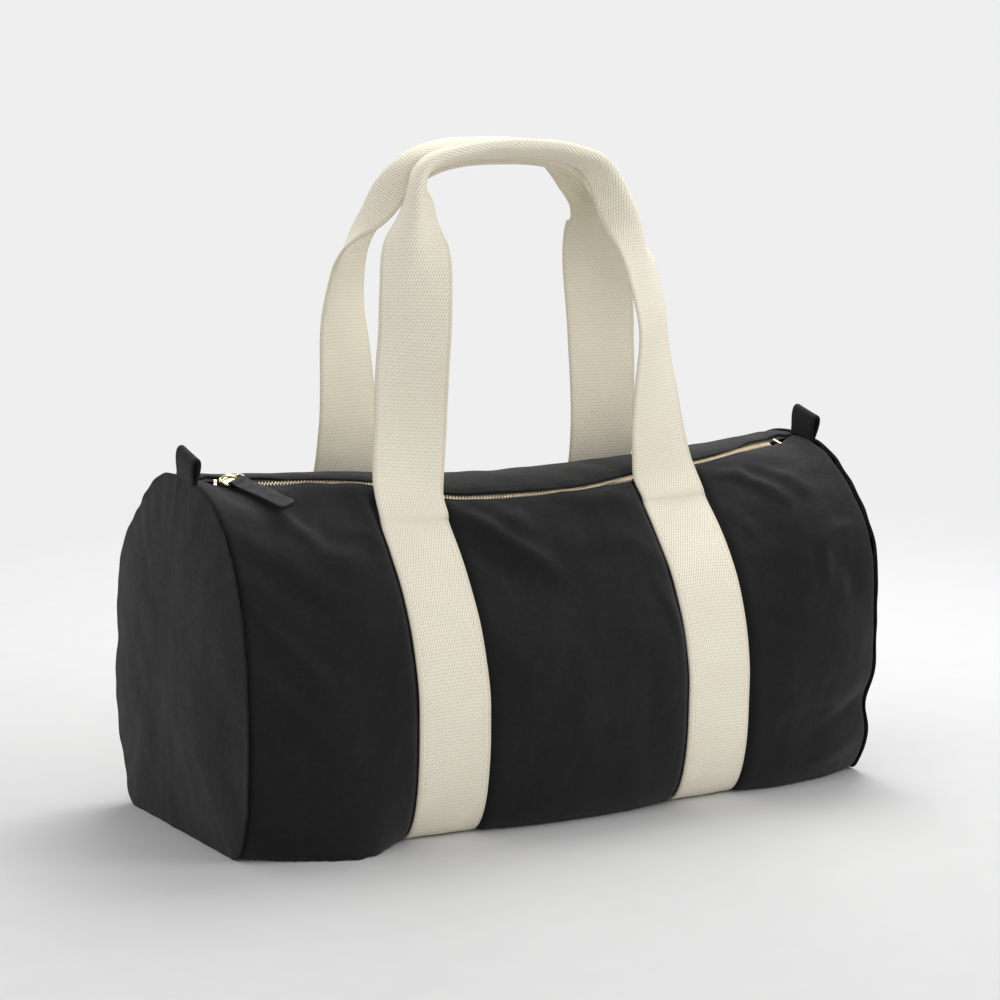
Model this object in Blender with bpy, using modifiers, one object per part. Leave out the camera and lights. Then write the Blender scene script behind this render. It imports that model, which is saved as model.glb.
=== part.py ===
"""A barrel-shaped canvas sports bag with two webbing handles and a zip along its top.

Metres, +Z up. X runs along the bag, -Y is its front. The origin is the middle of the flat bottom.
"""

import math

import bmesh
import bpy
from mathutils import Matrix, Vector

# The bag's outer shape
seam_to_seam = 0.4758
middle_height = 0.2215
end_rise = 0.0105
belly_height = 0.0850
belly_half_width = 0.1075
end_half_width = 0.1040
foot_half_width = 0.0760
end_shift = 0.0110
middle_round_share = 1.58
end_round_share = 2.40
end_dome = 0.0070
dome_rim_share = 0.93
dome_ring_shares = (0.72, 0.45, 0.15)

# Sheet thicknesses and the gap between neighbours
canvas_thickness = 0.0015
binding_thickness = 0.0010
tape_thickness = 0.0006
webbing_thickness = 0.0022
loop_thickness = 0.0016
gap = 0.0003

# The zip: an arc in a plane that tips down to the front
zip_middle_y = -0.0420
zip_below_top = 0.0135
zip_tilt_degrees = 25.0
zip_sag = 0.0420
zip_end_to_seam = 0.0209
mouth_half_width = 0.0065
mouth_blend = 0.0450
tape_under_canvas = 0.0100
tooth_pitch = 0.0040
tooth_length = 0.0020
tooth_tip = 0.0007
tooth_root = 0.0021
tooth_back = 0.0034
tooth_half_height = 0.0013
teeth_end_to_seam = 0.0239
stop_length = 0.0018
stop_clearance = 0.0006

# The slider, its ring and its puller
slider_length = 0.0130
slider_width = 0.0110
plate_thickness = 0.0014
plate_clearance = 0.0005
rim_width = 0.0009
rim_half_gap = 0.0007
post_length = 0.0026
bridge_length = 0.0084
bridge_width = 0.0020
bridge_wall = 0.0012
ring_wire_radius = 0.0007
bar_lift = 0.0018
ring_width = 0.0176
ring_depth = 0.0064
puller_width = 0.0140
puller_length = 0.0430
puller_thickness = 0.0030
puller_eye_wall = 0.0012
puller_swing_degrees = 48.0
puller_droop_degrees = -5.0

# Webbing bands and handles
webbing_width = 0.0500
band_centre = 0.1005
band_top_drop = 0.0205
band_below_tape = 0.0060
groove_fade = 0.0040
groove_margin = 0.0015
handle_clearance = 0.0003
handle_rise = 0.2375
handle_grip_y = -0.0170
# Along a leg: how far out it stands, how high it has risen, how far it has turned and leaned
front_leg_shares = (
    (0.985, 0.06, 0.02, 0.13),
    (0.955, 0.175, 0.11, 0.40),
    (0.925, 0.31, 0.26, 0.58),
    (0.90, 0.47, 0.38, 0.62),
    (0.86, 0.62, 0.44, 0.74),
    (0.81, 0.75, 0.56, 0.90),
    (0.76, 0.87, 0.84, 1.02),
    (0.65, 0.955, 1, 1.03),
    (0.45, 0.988, 1, 1),
)
back_leg_shares = (
    (1, 0.06, 0.02, 0.08),
    (1.01, 0.23, 0.06, 0.22),
    (1, 0.36, 0.14, 0.27),
    (0.985, 0.50, 0.22, 0.25),
    (0.95, 0.61, 0.34, 0.24),
    (0.915, 0.70, 0.48, 0.30),
    (0.86, 0.80, 0.66, 0.45),
    (0.76, 0.895, 0.88, 0.70),
    (0.62, 0.96, 1, 0.88),
    (0.42, 0.99, 1, 0.97),
)
grip_cup_degrees = 95.0
grip_cup_power = 1.5

# End tabs and inside binding
tab_width = 0.0260
tab_height = 0.0220
tab_half_gap = 0.0056
tab_waist_share = 0.25
tab_pivot_height = 0.0014
tab_centre_y = -0.0055
tab_lean_degrees = 15.0
tab_seat = 0.0007
binding_width = 0.0080
binding_inset = 0.0020

# How finely the sheets are divided
section_steps = 400
station_shares = (0, 0.10, 0.20, 0.64, 0.74, 0.84, 0.93, 1)
belly_columns = 36
back_top_columns = 6
front_top_columns = 2
handle_rows = 44
handle_columns = 6
tab_points = 20
hem_columns = 2
tooth_corners = 4
teeth_per_back_corner = 4
wire_bevel_steps = 2
eye_steps = 4
eye_segments = 16

half_length = seam_to_seam / 2
end_height = middle_height + end_rise
band_top_height = middle_height - band_top_drop
handle_top_height = band_top_height + handle_rise
zip_half_run = half_length - zip_end_to_seam
teeth_half_run = half_length - teeth_end_to_seam
tilt = math.radians(zip_tilt_degrees)
across = Vector((0, math.cos(tilt), math.sin(tilt)))
upward = Vector((0, -math.sin(tilt), math.cos(tilt)))
zip_radius = (zip_half_run**2 + zip_sag**2) / (2 * zip_sag)
zip_middle = Vector((0, zip_middle_y, middle_height - zip_below_top))
zip_centre = zip_middle + across * zip_radius
tape_top = tape_thickness / 2
canvas_lift = tape_top + gap + canvas_thickness
groove_depth = webbing_thickness + gap
first_band_column = hem_columns + back_top_columns
last_band_column = first_band_column + belly_columns
slider_rest = -teeth_half_run + slider_length / 2 - post_length
plate_inner = tooth_half_height + plate_clearance
bar_height = plate_inner + plate_thickness + bar_lift + ring_wire_radius
bridge_under = bar_height + ring_wire_radius + gap


def mix(first, last, share):
    return first + (last - first) * share


def ease(share):
    share = min(max(share, 0), 1)
    return share * share * (3 - 2 * share)


def collection(name):
    made = bpy.data.collections.new(name)
    bpy.context.scene.collection.children.link(made)
    return made


def material(name, colour, roughness, metallic=0):
    made = bpy.data.materials.new(name)
    made.use_nodes = True
    shader = made.node_tree.nodes["Principled BSDF"]
    shader.inputs["Base Color"].default_value = (*colour, 1)
    shader.inputs["Roughness"].default_value = roughness
    shader.inputs["Metallic"].default_value = metallic
    return made


def add_object(name, mesh, look, parts, place=None):
    made = bpy.data.objects.new(name, mesh)
    if place:
        made.matrix_world = place
    if look:
        mesh.materials.append(look)
    parts.objects.link(made)
    return made


def mesh_of(name, shape):
    bmesh.ops.recalc_face_normals(shape, faces=shape.faces)
    mesh = bpy.data.meshes.new(name)
    shape.to_mesh(mesh)
    shape.free()
    return mesh


def sheet_mesh(name, rows, join_ends=False, join_sides=False, cap=False, turned=False):
    """A surface through rows of points. A cap closes it at the last row, and turned faces it over."""
    mesh = bpy.data.meshes.new(name)
    across_count = len(rows[0])
    points = [point for row in rows for point in row]
    faces = []
    for row in range(len(rows) - (0 if join_ends else 1)):
        beyond = (row + 1) % len(rows)
        for column in range(across_count - (0 if join_sides else 1)):
            following = (column + 1) % across_count
            corners = ((row, column), (row, following), (beyond, following), (beyond, column))
            faces.append([r * across_count + c for r, c in corners])
    if cap:
        faces.append(list(range(len(points) - across_count, len(points))))
    if turned:
        faces = [face[::-1] for face in faces]
    mesh.from_pydata(points, [], faces)
    mesh.update()
    mesh.shade_smooth()
    return mesh


def thicken(made, thickness, side=-1):
    solidify = made.modifiers.new("Thickness", "SOLIDIFY")
    solidify.thickness = thickness
    solidify.offset = side
    solidify.use_even_offset = True


def box_mesh(name, lengths, centre=Vector()):
    shape = bmesh.new()
    bmesh.ops.create_cube(shape, size=1)
    bmesh.ops.scale(shape, vec=lengths, verts=shape.verts)
    bmesh.ops.translate(shape, vec=centre, verts=shape.verts)
    return mesh_of(name, shape)


def extruded_mesh(name, outline, height, lift=0):
    """A closed outline in local X and Y, given a height along local Z from the lift."""
    shape = bmesh.new()
    corners = [shape.verts.new((x, y, lift)) for x, y in outline]
    face = shape.faces.new(corners)
    raised = bmesh.ops.extrude_face_region(shape, geom=[face])
    lifted = [part for part in raised["geom"] if isinstance(part, bmesh.types.BMVert)]
    bmesh.ops.translate(shape, vec=(0, 0, height), verts=lifted)
    return mesh_of(name, shape)


def hang_from(made, name, place, parts):
    """Parent the made object to an empty on the axis that it turns about."""
    axis = bpy.data.objects.new(name, None)
    axis.matrix_world = place
    parts.objects.link(axis)
    made.parent = axis
    made.matrix_parent_inverse = place.inverted()


def combine(made, other, operation):
    boolean = made.modifiers.new(other.name, "BOOLEAN")
    boolean.operation = operation
    boolean.object = other
    other.hide_render = True
    other.display_type = "WIRE"


def zip_point(angle, inward=0, lift=0):
    """A point of the zip: the angle along its arc, then across towards the back and up."""
    reach = zip_radius - inward
    radial = Vector((1, 0, 0)) * math.sin(angle) - across * math.cos(angle)
    return zip_centre + radial * reach + upward * lift


def zip_edge(x, inward, lift):
    """The point at x on the arc that runs beside the zip's own."""
    return zip_point(math.asin(x / (zip_radius - inward)), inward, lift)


def zip_frame(x):
    """Axes at a place on the zip: along it, across to the back, and up out of it."""
    angle = math.asin(x / zip_radius)
    along = Vector((1, 0, 0)) * math.cos(angle) + across * math.sin(angle)
    inward = upward.cross(along)
    frame = Matrix((along, inward, upward)).transposed().to_4x4()
    frame.translation = zip_point(angle)
    return frame


def top_point(x, angle):
    """A point of the rounded upper half. The angle runs from 0 at the back to pi at the front."""
    share = min(abs(x) / half_length, 1) ** 2
    power = 2 / mix(middle_round_share, end_round_share, share)
    width = mix(belly_half_width, end_half_width, share)
    height = mix(middle_height, end_height, share) - belly_height
    side = math.copysign(abs(math.cos(angle)) ** power, math.cos(angle))
    y = end_shift * share + width * side
    return Vector((x, y, belly_height + height * abs(math.sin(angle)) ** power))


def mouth_angle(x, y):
    """The angle at which the upper half reaches this y."""
    share = min(abs(x) / half_length, 1) ** 2
    width = mix(belly_half_width, end_half_width, share)
    power = mix(middle_round_share, end_round_share, share) / 2
    side = (y - end_shift * share) / width
    return math.acos(math.copysign(abs(side) ** power, side))


def dense_outline(x):
    """The section at x, from the mouth's back edge over the top and round to its front edge."""
    back_edge = zip_edge(x, mouth_half_width, canvas_lift)
    front_edge = zip_edge(x, -mouth_half_width, canvas_lift)
    back_start = mouth_angle(x, back_edge.y)
    front_end = mouth_angle(x, front_edge.y)
    back_fix = back_edge.z - top_point(x, back_start).z
    front_fix = front_edge.z - top_point(x, front_end).z
    share = min(abs(x) / half_length, 1) ** 2
    width = mix(belly_half_width, end_half_width, share)
    shift = end_shift * share
    points = []
    for step in range(section_steps + 1):
        point = top_point(x, mix(back_start, 0, step / section_steps))
        point.z += back_fix * (1 - ease((point.y - back_edge.y) / mouth_blend))
        points.append(point)
    corner = width - foot_half_width
    for side in (1, -1):
        for step in range(1, section_steps):
            turn = step / section_steps * math.pi / 2
            if side < 0:
                turn = math.pi / 2 - turn
            y = shift + side * (foot_half_width + corner * math.cos(turn))
            points.append(Vector((x, y, belly_height * (1 - math.sin(turn)))))
        if side > 0:
            for step in range(section_steps + 1):
                y = shift + mix(foot_half_width, -foot_half_width, step / section_steps)
                points.append(Vector((x, y, 0)))
    for step in range(section_steps + 1):
        point = top_point(x, mix(math.pi, front_end, step / section_steps))
        point.z += front_fix * (1 - ease((front_edge.y - point.y) / mouth_blend))
        points.append(point)
    return points


def column_lengths(outline, lengths):
    """Where the columns of the sheet stand along the outline, with the band's two ends on columns."""
    total = lengths[-1]
    under = [point.z < band_top_height for point in outline]
    back_end = lengths[under.index(True)]
    front_end = lengths[len(under) - 1 - under[::-1].index(True)]
    front_end = min(front_end, total - tape_under_canvas - band_below_tape)
    hem = (0, tape_under_canvas / 2, tape_under_canvas)
    places = list(hem)
    for step in range(1, back_top_columns + 1):
        places.append(mix(tape_under_canvas, back_end, step / back_top_columns))
    for step in range(1, belly_columns + 1):
        places.append(mix(back_end, front_end, step / belly_columns))
    for step in range(1, front_top_columns + 1):
        places.append(mix(front_end, total - tape_under_canvas, step / front_top_columns))
    return places + [total - tape_under_canvas / 2, total]


def spaced_outline(x):
    """The section at x with its columns only."""
    outline = dense_outline(x)
    lengths = [0]
    for first, second in zip(outline, outline[1:]):
        lengths.append(lengths[-1] + (second - first).length)
    row = []
    step = 0
    for place in column_lengths(outline, lengths):
        while step < len(lengths) - 2 and lengths[step + 1] < place:
            step += 1
        share = (place - lengths[step]) / (lengths[step + 1] - lengths[step])
        row.append(outline[step].lerp(outline[step + 1], share))
    return row


def section(x, inset=0, groove=0):
    """Points round the bag at x, set in evenly, and by the groove too where the band lies."""
    row = spaced_outline(x)
    stretches = [(second - first).normalized() for first, second in zip(row, row[1:])]
    normals = [Vector((1, 0, 0)).cross(stretch) for stretch in stretches]
    normals = [normals[0], *normals, normals[-1]]
    moved = []
    for column, point in enumerate(row):
        before, after = normals[column], normals[column + 1]
        banded = first_band_column <= column <= last_band_column
        depth = inset + (groove if banded else 0)
        moved.append(point - (before + after) * depth / (1 + before.dot(after)))
    return moved


def band_edges(centre):
    half = webbing_width / 2
    return centre - half, centre + half


def barrel_stations():
    """Where the sections of the barrel stand, with how much of the groove each one has."""
    stations = [(half_length * share, 0) for share in station_shares]
    inner, outer = band_edges(band_centre)
    stations += [
        (inner - groove_margin - groove_fade, 0),
        (inner - groove_margin, groove_depth),
        (band_centre, groove_depth),
        (outer + groove_margin, groove_depth),
        (outer + groove_margin + groove_fade, 0),
    ]
    mirrored = [(-x, groove) for x, groove in stations if x > 0]
    return sorted(stations + mirrored)


def build_barrel(parts, canvas):
    rows = [section(x, 0, groove) for x, groove in barrel_stations()]
    mesh = sheet_mesh("barrel_panel", rows, turned=True)
    thicken(add_object("barrel_panel", mesh, canvas, parts), canvas_thickness)


def build_end_panel(name, side, parts, canvas):
    """A domed panel over the barrel's open end, flat at its rim."""
    rim = section(side * half_length)
    centre = Vector((side * half_length, end_shift, (belly_height + end_height) / 2))
    outer = side * (half_length + gap + canvas_thickness)
    rows = []
    for share in (1, dome_rim_share, *dome_ring_shares):
        dome = 0 if share >= dome_rim_share else end_dome * (1 - (share / dome_rim_share) ** 2)
        row = [centre + (point - centre) * share for point in rim]
        for point in row:
            point.x = outer + side * dome
        rows.append(row)
    mesh = sheet_mesh(name, rows, join_sides=True, cap=True, turned=side > 0)
    thicken(add_object(name, mesh, canvas, parts), canvas_thickness)


def build_binding(name, side, parts, cloth):
    """Tape round the inside of an end seam, under the zip tape."""
    inset = canvas_thickness + gap + tape_thickness + gap
    near = half_length - binding_inset
    rows = [section(side * x, inset) for x in (near - binding_width, near)]
    if side < 0:
        rows.reverse()
    mesh = sheet_mesh(name, rows, join_sides=True, turned=True)
    thicken(add_object(name, mesh, cloth, parts), binding_thickness)


def build_zip_tape(name, side, parts, cloth):
    """One half of the zip's tape: flat beside the teeth, then along under the canvas."""
    inset = canvas_thickness + gap
    rows = []
    for x, groove in barrel_stations():
        x = math.copysign(min(abs(x), half_length - binding_inset), x)
        under = section(x, inset)
        hem = under[: hem_columns + 1] if side > 0 else under[-1 : -hem_columns - 2 : -1]
        edge = zip_edge(x, side * (tooth_back + gap), tape_top)
        row = [edge, *hem]
        rows.append(row if side > 0 else row[::-1])
    mesh = sheet_mesh(name, rows, turned=True)
    thicken(add_object(name, mesh, cloth, parts), tape_thickness)


def build_teeth(name, side, parts, brass):
    """A row of teeth joined at their backs, following the zip's arc."""
    shape = bmesh.new()
    count = round(2 * teeth_half_run / tooth_pitch)
    outline = []
    for tooth in range(count):
        start = -teeth_half_run + tooth * tooth_pitch
        half_step = (tooth_pitch - tooth_length) / 2
        offset = side * half_step / 2
        for x, reach in (
            (start + half_step + offset, tooth_root),
            (start + half_step + offset, tooth_tip),
            (start + half_step + tooth_length + offset, tooth_tip),
            (start + half_step + tooth_length + offset, tooth_root),
        ):
            outline.append((x, reach))
    outline.append((outline[-1][0], tooth_back))
    back_step = -tooth_corners * teeth_per_back_corner
    for x, _ in outline[-tooth_corners - 1 :: back_step]:
        outline.append((x, tooth_back))
    outline.append((outline[0][0], tooth_back))
    corners = [
        shape.verts.new(zip_point(x / zip_radius, side * reach, -tooth_half_height))
        for x, reach in outline
    ]
    face = shape.faces.new(corners)
    raised = bmesh.ops.extrude_face_region(shape, geom=[face])
    lifted = [part for part in raised["geom"] if isinstance(part, bmesh.types.BMVert)]
    bmesh.ops.translate(shape, vec=upward * 2 * tooth_half_height, verts=lifted)
    add_object(name, mesh_of(name, shape), brass, parts)


def build_stops(parts, brass):
    """A stop on each tape beyond the closed slider, and one across both at the open end."""
    reach = tooth_back - tooth_tip
    size = Vector((stop_length, reach, 2 * tooth_half_height))
    x = slider_rest - slider_length / 2 - stop_clearance - stop_length / 2
    for name, side in (("zip_top_stop_front", -1), ("zip_top_stop_back", 1)):
        centre = Vector((0, side * (tooth_tip + reach / 2), 0))
        add_object(name, box_mesh(name, size, centre), brass, parts, zip_frame(x))
    x = teeth_half_run + stop_clearance + stop_length / 2
    size = Vector((stop_length, 2 * tooth_back, 2 * tooth_half_height))
    name = "zip_bottom_stop"
    add_object(name, box_mesh(name, size), brass, parts, zip_frame(x))


def build_slider(parts, cutters, brass):
    """Two plates joined by a post at the nose, with rims round the tape and a bridge on top."""
    place = zip_frame(slider_rest)
    plate = Vector((slider_length, slider_width, plate_thickness))
    middle = plate_inner + plate_thickness / 2
    name = "zip_slider"
    slider = add_object(name, box_mesh(name, plate, Vector((0, 0, middle))), brass, parts, place)
    pieces = [(plate, Vector((0, 0, -middle)))]
    rim_height = middle - rim_half_gap
    rim = Vector((slider_length, rim_width, rim_height))
    for side in (-1, 1):
        for face in (-1, 1):
            y = side * (slider_width - rim_width) / 2
            pieces.append((rim, Vector((0, y, face * (rim_half_gap + rim_height / 2)))))
    post = Vector((post_length, 2 * (tooth_tip - gap), 2 * middle))
    pieces.append((post, Vector(((post_length - slider_length) / 2 + rim_width, 0, 0))))
    bridge_height = bridge_under + bridge_wall - middle
    foot = Vector((bridge_wall, bridge_width, bridge_height))
    for side in (-1, 1):
        x = side * (bridge_length - bridge_wall) / 2
        pieces.append((foot, Vector((x, 0, middle + bridge_height / 2))))
    beam = Vector((bridge_length, bridge_width, bridge_wall))
    pieces.append((beam, Vector((0, 0, bridge_under + bridge_wall / 2))))
    for number, (size, centre) in enumerate(pieces):
        name = f"slider_piece_{number}"
        combine(slider, add_object(name, box_mesh(name, size, centre), None, cutters, place), "UNION")
    axes = Matrix((Vector((1, 0, 0)), across, upward)).transposed().to_4x4()
    hang_from(slider, "zip_slider_axis", Matrix.Translation(zip_centre) @ axes, parts)


def pull_frame():
    """Axes at the ring's bar in the bridge: along the puller, along the bar, and up."""
    frame = zip_frame(slider_rest)
    swing = Matrix.Rotation(-math.radians(puller_swing_degrees), 4, "Z")
    return frame @ Matrix.Translation((0, 0, bar_height)) @ swing


def build_ring(parts, brass):
    """A rectangular wire ring, with one bar in the slider's bridge and one in the puller."""
    wire = bpy.data.curves.new("zip_pull_ring", "CURVE")
    wire.dimensions = "3D"
    wire.bevel_depth = ring_wire_radius
    wire.bevel_resolution = wire_bevel_steps
    half = ring_width / 2
    corner = 2 * ring_wire_radius
    outline = [(0, -half + corner), (0, half - corner), (corner, half), (ring_depth - corner, half)]
    outline += [(ring_depth, half - corner), (ring_depth, corner - half)]
    outline += [(ring_depth - corner, -half), (corner, -half)]
    spline = wire.splines.new("POLY")
    spline.points.add(len(outline) - 1)
    spline.use_cyclic_u = True
    for point, (x, y) in zip(spline.points, outline):
        point.co = (x, y, 0, 1)
    ring = bpy.data.objects.new("zip_pull_ring", wire)
    ring.matrix_world = pull_frame()
    wire.materials.append(brass)
    parts.objects.link(ring)


def build_puller(parts, cutters, cloth):
    """A folded strip round the ring's outer bar, lying down over the front of the bag."""
    eye = ring_wire_radius + gap
    outer = eye + puller_eye_wall
    half = puller_thickness / 2
    outline = []
    for step in range(-eye_steps, eye_steps + 1):
        turn = math.pi + step / eye_steps * math.pi / 2
        outline.append((outer * math.cos(turn), -outer * math.sin(turn)))
    outline += [(2 * outer, half), (puller_length, half), (puller_length, -half), (2 * outer, -half)]
    mesh = extruded_mesh("zip_puller", outline, puller_width, -puller_width / 2)
    upright = Matrix.Rotation(math.pi / 2, 4, "X")
    droop = Matrix.Rotation(math.radians(puller_droop_degrees), 4, "Y")
    place = pull_frame() @ Matrix.Translation((ring_depth, 0, 0)) @ droop @ upright
    puller = add_object("zip_puller", mesh, cloth, parts, place)
    shape = bmesh.new()
    sides = {"segments": eye_segments, "radius1": eye, "radius2": eye}
    bmesh.ops.create_cone(shape, cap_ends=True, depth=2 * puller_width, **sides)
    hole = add_object("puller_eye", mesh_of("puller_eye", shape), None, cutters, place)
    combine(puller, hole, "DIFFERENCE")


def build_band(name, centre, parts, webbing):
    """Webbing sewn down the front, under the bottom and up the back."""
    edges = band_edges(centre)
    rows = [section(x)[first_band_column : last_band_column + 1] for x in (edges[0], centre, edges[1])]
    mesh = sheet_mesh(name, rows, turned=True)
    thicken(add_object(name, mesh, webbing, parts), webbing_thickness)


def hinge_place(side):
    """Where a handle turns: just outside the top of the bands, at the front or the back."""
    column = last_band_column if side < 0 else first_band_column
    clear = webbing_thickness / 2 + handle_clearance
    places = []
    for x in (*band_edges(band_centre), band_centre):
        end = section(x)[column]
        normal = (section(x, -clear)[column] - end).normalized()
        places.append(Vector((0, end.y + clear / normal.y, end.z)))
    return max(places, key=lambda place: side * place.y)


def handle_route(hinge, side):
    """The handle's middle line: up one leg, over the grip and down the other, with its turn."""
    grip_y = -side * handle_grip_y
    leg_shares = front_leg_shares if side < 0 else back_leg_shares
    knots = ((1, 0, 0, 0), *leg_shares, (0, 1, 1, 1))
    route = []
    for out_share, rise_share, turn_share, lean_share in knots:
        x = band_centre * out_share
        y = mix(hinge.y, grip_y, lean_share)
        z = mix(hinge.z, handle_top_height, rise_share)
        route.append((Vector((x, y, z)), turn_share))
    back = [(Vector((-p.x, p.y, p.z)), t) for p, t in route[-2::-1]]
    return route + back


def smooth_route(route, count):
    """Evenly many points through the route's knots, as a Catmull-Rom curve."""
    points = []
    last = len(route) - 1
    for step in range(count + 1):
        place = step / count * last
        knot = min(int(place), last - 1)
        t = place - knot
        near = [route[min(max(knot + k, 0), last)] for k in (-1, 0, 1, 2)]
        weights = (
            (-t + 2 * t**2 - t**3) / 2,
            (2 - 5 * t**2 + 3 * t**3) / 2,
            (t + 4 * t**2 - 3 * t**3) / 2,
            (t**3 - t**2) / 2,
        )
        point = sum((weight * p for weight, (p, _) in zip(weights, near)), Vector())
        turn = sum(weight * share for weight, (_, share) in zip(weights, near))
        points.append((point, min(max(turn, 0), 1)))
    return points


def build_handle(name, side, parts, webbing):
    """A loop of free webbing. Each leg turns a quarter way round as it rises to the cupped grip."""
    hinge = hinge_place(side)
    line = smooth_route(handle_route(hinge, side), handle_rows)
    rows = []
    for index, (point, turn_share) in enumerate(line):
        before = line[max(index - 1, 0)][0]
        after = line[min(index + 1, len(line) - 1)][0]
        along = (after - before).normalized()
        if index in (0, len(line) - 1):
            along = Vector((0, 0, 1 if index == 0 else -1))
        outward = Vector((0, side, 0))
        lateral = outward.cross(along).normalized()
        turn = -side * turn_share * math.pi / 2
        lateral = Matrix.Rotation(turn, 3, along) @ lateral
        normal = along.cross(lateral)
        cup = math.radians(grip_cup_degrees) * turn_share**grip_cup_power
        row = []
        for column in range(handle_columns + 1):
            place = column / handle_columns * 2 - 1
            if cup > 0:
                radius = webbing_width / 2 / cup
                sideways = radius * math.sin(cup * place)
                down = radius * (1 - math.cos(cup * place))
            else:
                sideways = webbing_width / 2 * place
                down = 0
            row.append(point + lateral * sideways - normal * down)
        rows.append([corner - Vector((0, hinge.y, hinge.z)) for corner in row])
    place = Matrix.Translation((0, hinge.y, hinge.z))
    made = add_object(name, sheet_mesh(name, rows), webbing, parts, place)
    thicken(made, webbing_thickness, 0)


def build_tab(name, side, parts, cloth):
    """A folded strip that stands up out of the end seam as a loop, its layers together at the foot."""
    foot = (loop_thickness + gap) / 2
    rows = []
    for step in range(tab_points):
        turn = 2 * math.pi * (step + 1 / 2) / tab_points
        height = tab_height * (1 - math.cos(turn)) / 2
        waist = mix(tab_waist_share, 1, height / tab_height)
        reach = tab_half_gap * abs(math.sin(turn)) * waist
        if height < tab_height / 2:
            reach = max(reach, foot)
        reach = math.copysign(reach, math.sin(turn))
        height -= tab_pivot_height
        rows.append([Vector((reach, y, height)) for y in (-tab_width / 2, tab_width / 2)])
    x = side * (half_length + gap / 2)
    slope = math.tan(math.radians(tab_lean_degrees))
    lean = Matrix.Rotation(math.radians(tab_lean_degrees), 4, "X")
    outline = dense_outline(side * half_length)
    steps = range(section_steps)
    outline += [outline[-1].lerp(outline[0], step / section_steps) for step in steps]
    heights = [
        point.z - (point.y - tab_centre_y) * slope
        for point in outline
        if abs(point.y - tab_centre_y) < tab_width / 2 and point.z > belly_height
    ]
    lift = tab_seat + loop_thickness / 2 + tab_pivot_height
    base = Vector((x, tab_centre_y, max(heights) + lift))
    place = Matrix.Translation(base) @ lean
    made = add_object(name, sheet_mesh(name, rows, join_ends=True), cloth, parts, place)
    thicken(made, loop_thickness, 0)


def build():
    for old in list(bpy.data.objects):
        bpy.data.objects.remove(old)
    parts = collection("sports_bag")
    cutters = collection("cutters")
    canvas = material("black_canvas", (0.022, 0.022, 0.024), 0.85)
    binding = material("black_binding", (0.018, 0.018, 0.019), 0.80)
    tape = material("black_zip_tape", (0.016, 0.016, 0.017), 0.75)
    leather = material("black_pull_strip", (0.012, 0.012, 0.012), 0.60)
    webbing = material("natural_webbing", (0.760, 0.710, 0.590), 0.85)
    brass = material("brass", (0.640, 0.500, 0.280), 0.35, 1)
    build_barrel(parts, canvas)
    for end, side in (("left", -1), ("right", 1)):
        build_end_panel(f"end_panel_{end}", side, parts, canvas)
        build_binding(f"seam_binding_{end}", side, parts, binding)
        build_tab(f"end_tab_{end}", side, parts, canvas)
        build_band(f"webbing_band_{end}", side * band_centre, parts, webbing)
    for face, side in (("front", -1), ("back", 1)):
        build_zip_tape(f"zip_tape_{face}", side, parts, tape)
        build_teeth(f"zip_teeth_{face}", side, parts, brass)
        build_handle(f"handle_{face}", side, parts, webbing)
    build_stops(parts, brass)
    build_slider(parts, cutters, brass)
    build_ring(parts, brass)
    build_puller(parts, cutters, leather)


build()
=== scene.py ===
import math

import bmesh
import bpy
import numpy as np
from mathutils import Matrix, Vector


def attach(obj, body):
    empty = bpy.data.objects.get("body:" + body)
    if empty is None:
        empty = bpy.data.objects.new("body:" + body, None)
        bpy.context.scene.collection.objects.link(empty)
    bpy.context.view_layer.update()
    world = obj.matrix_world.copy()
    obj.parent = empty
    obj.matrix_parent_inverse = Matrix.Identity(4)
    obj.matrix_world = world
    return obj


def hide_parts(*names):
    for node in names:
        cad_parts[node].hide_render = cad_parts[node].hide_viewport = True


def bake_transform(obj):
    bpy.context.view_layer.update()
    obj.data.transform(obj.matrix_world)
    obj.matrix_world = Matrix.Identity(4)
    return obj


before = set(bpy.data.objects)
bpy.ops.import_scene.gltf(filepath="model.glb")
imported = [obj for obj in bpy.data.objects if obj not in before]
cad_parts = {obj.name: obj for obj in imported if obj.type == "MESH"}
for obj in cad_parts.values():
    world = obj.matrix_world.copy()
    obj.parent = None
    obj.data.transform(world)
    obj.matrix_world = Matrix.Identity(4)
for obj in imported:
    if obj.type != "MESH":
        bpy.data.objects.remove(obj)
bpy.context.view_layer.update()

# The bag's shape, as the CAD has it, in metres
HALF = 0.2379  # from the middle to either end seam
WIDTHS = 0.1075, 0.1040  # half the section's depth, in the middle and at the ends
HEIGHTS = 0.2215, 0.2320  # the section's height, likewise
POWERS = 1.58, 2.40  # how square its top is, likewise
LOW_POWER = 2 / 2.5  # how square its low corners are
BELLY = 0.0850  # the height at which it is deepest
SHIFT = 0.0110  # how far back the ends lie
FOOT = 0.0760  # half the flat bottom's depth
END_MIDDLE = np.array((SHIFT, 0.1190))
CANVAS = 0.0015
GAP = 0.0003
TAPE = 0.0006
WEBBING = 0.0022
WEB_WIDTH = 0.0500
BAND = 0.1005
BAND_IN, BAND_OUT = BAND - WEB_WIDTH / 2, BAND + WEB_WIDTH / 2
BAND_TOP = 0.2010
TILT = math.radians(25)
SAG = 0.0420
RUN = 0.2170
ZIP_R = (RUN**2 + SAG**2) / (2 * SAG)
ACROSS = np.array((0, math.cos(TILT), math.sin(TILT)))
UPWARD = np.array((0, -math.sin(TILT), math.cos(TILT)))
CENTRE = np.array((0, -0.0420, 0.2080)) + ACROSS * ZIP_R
MOUTH_BLEND = 0.0450
LIFT = TAPE / 2 + GAP + CANVAS
UNDER = 0.0100
TEETH_RUN = 0.2140
X_AXIS = np.array((1.0, 0, 0))
MM = 1000.0  # the longer tables are written in millimetres
SIDES = ("front", -1), ("back", 1)


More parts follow.
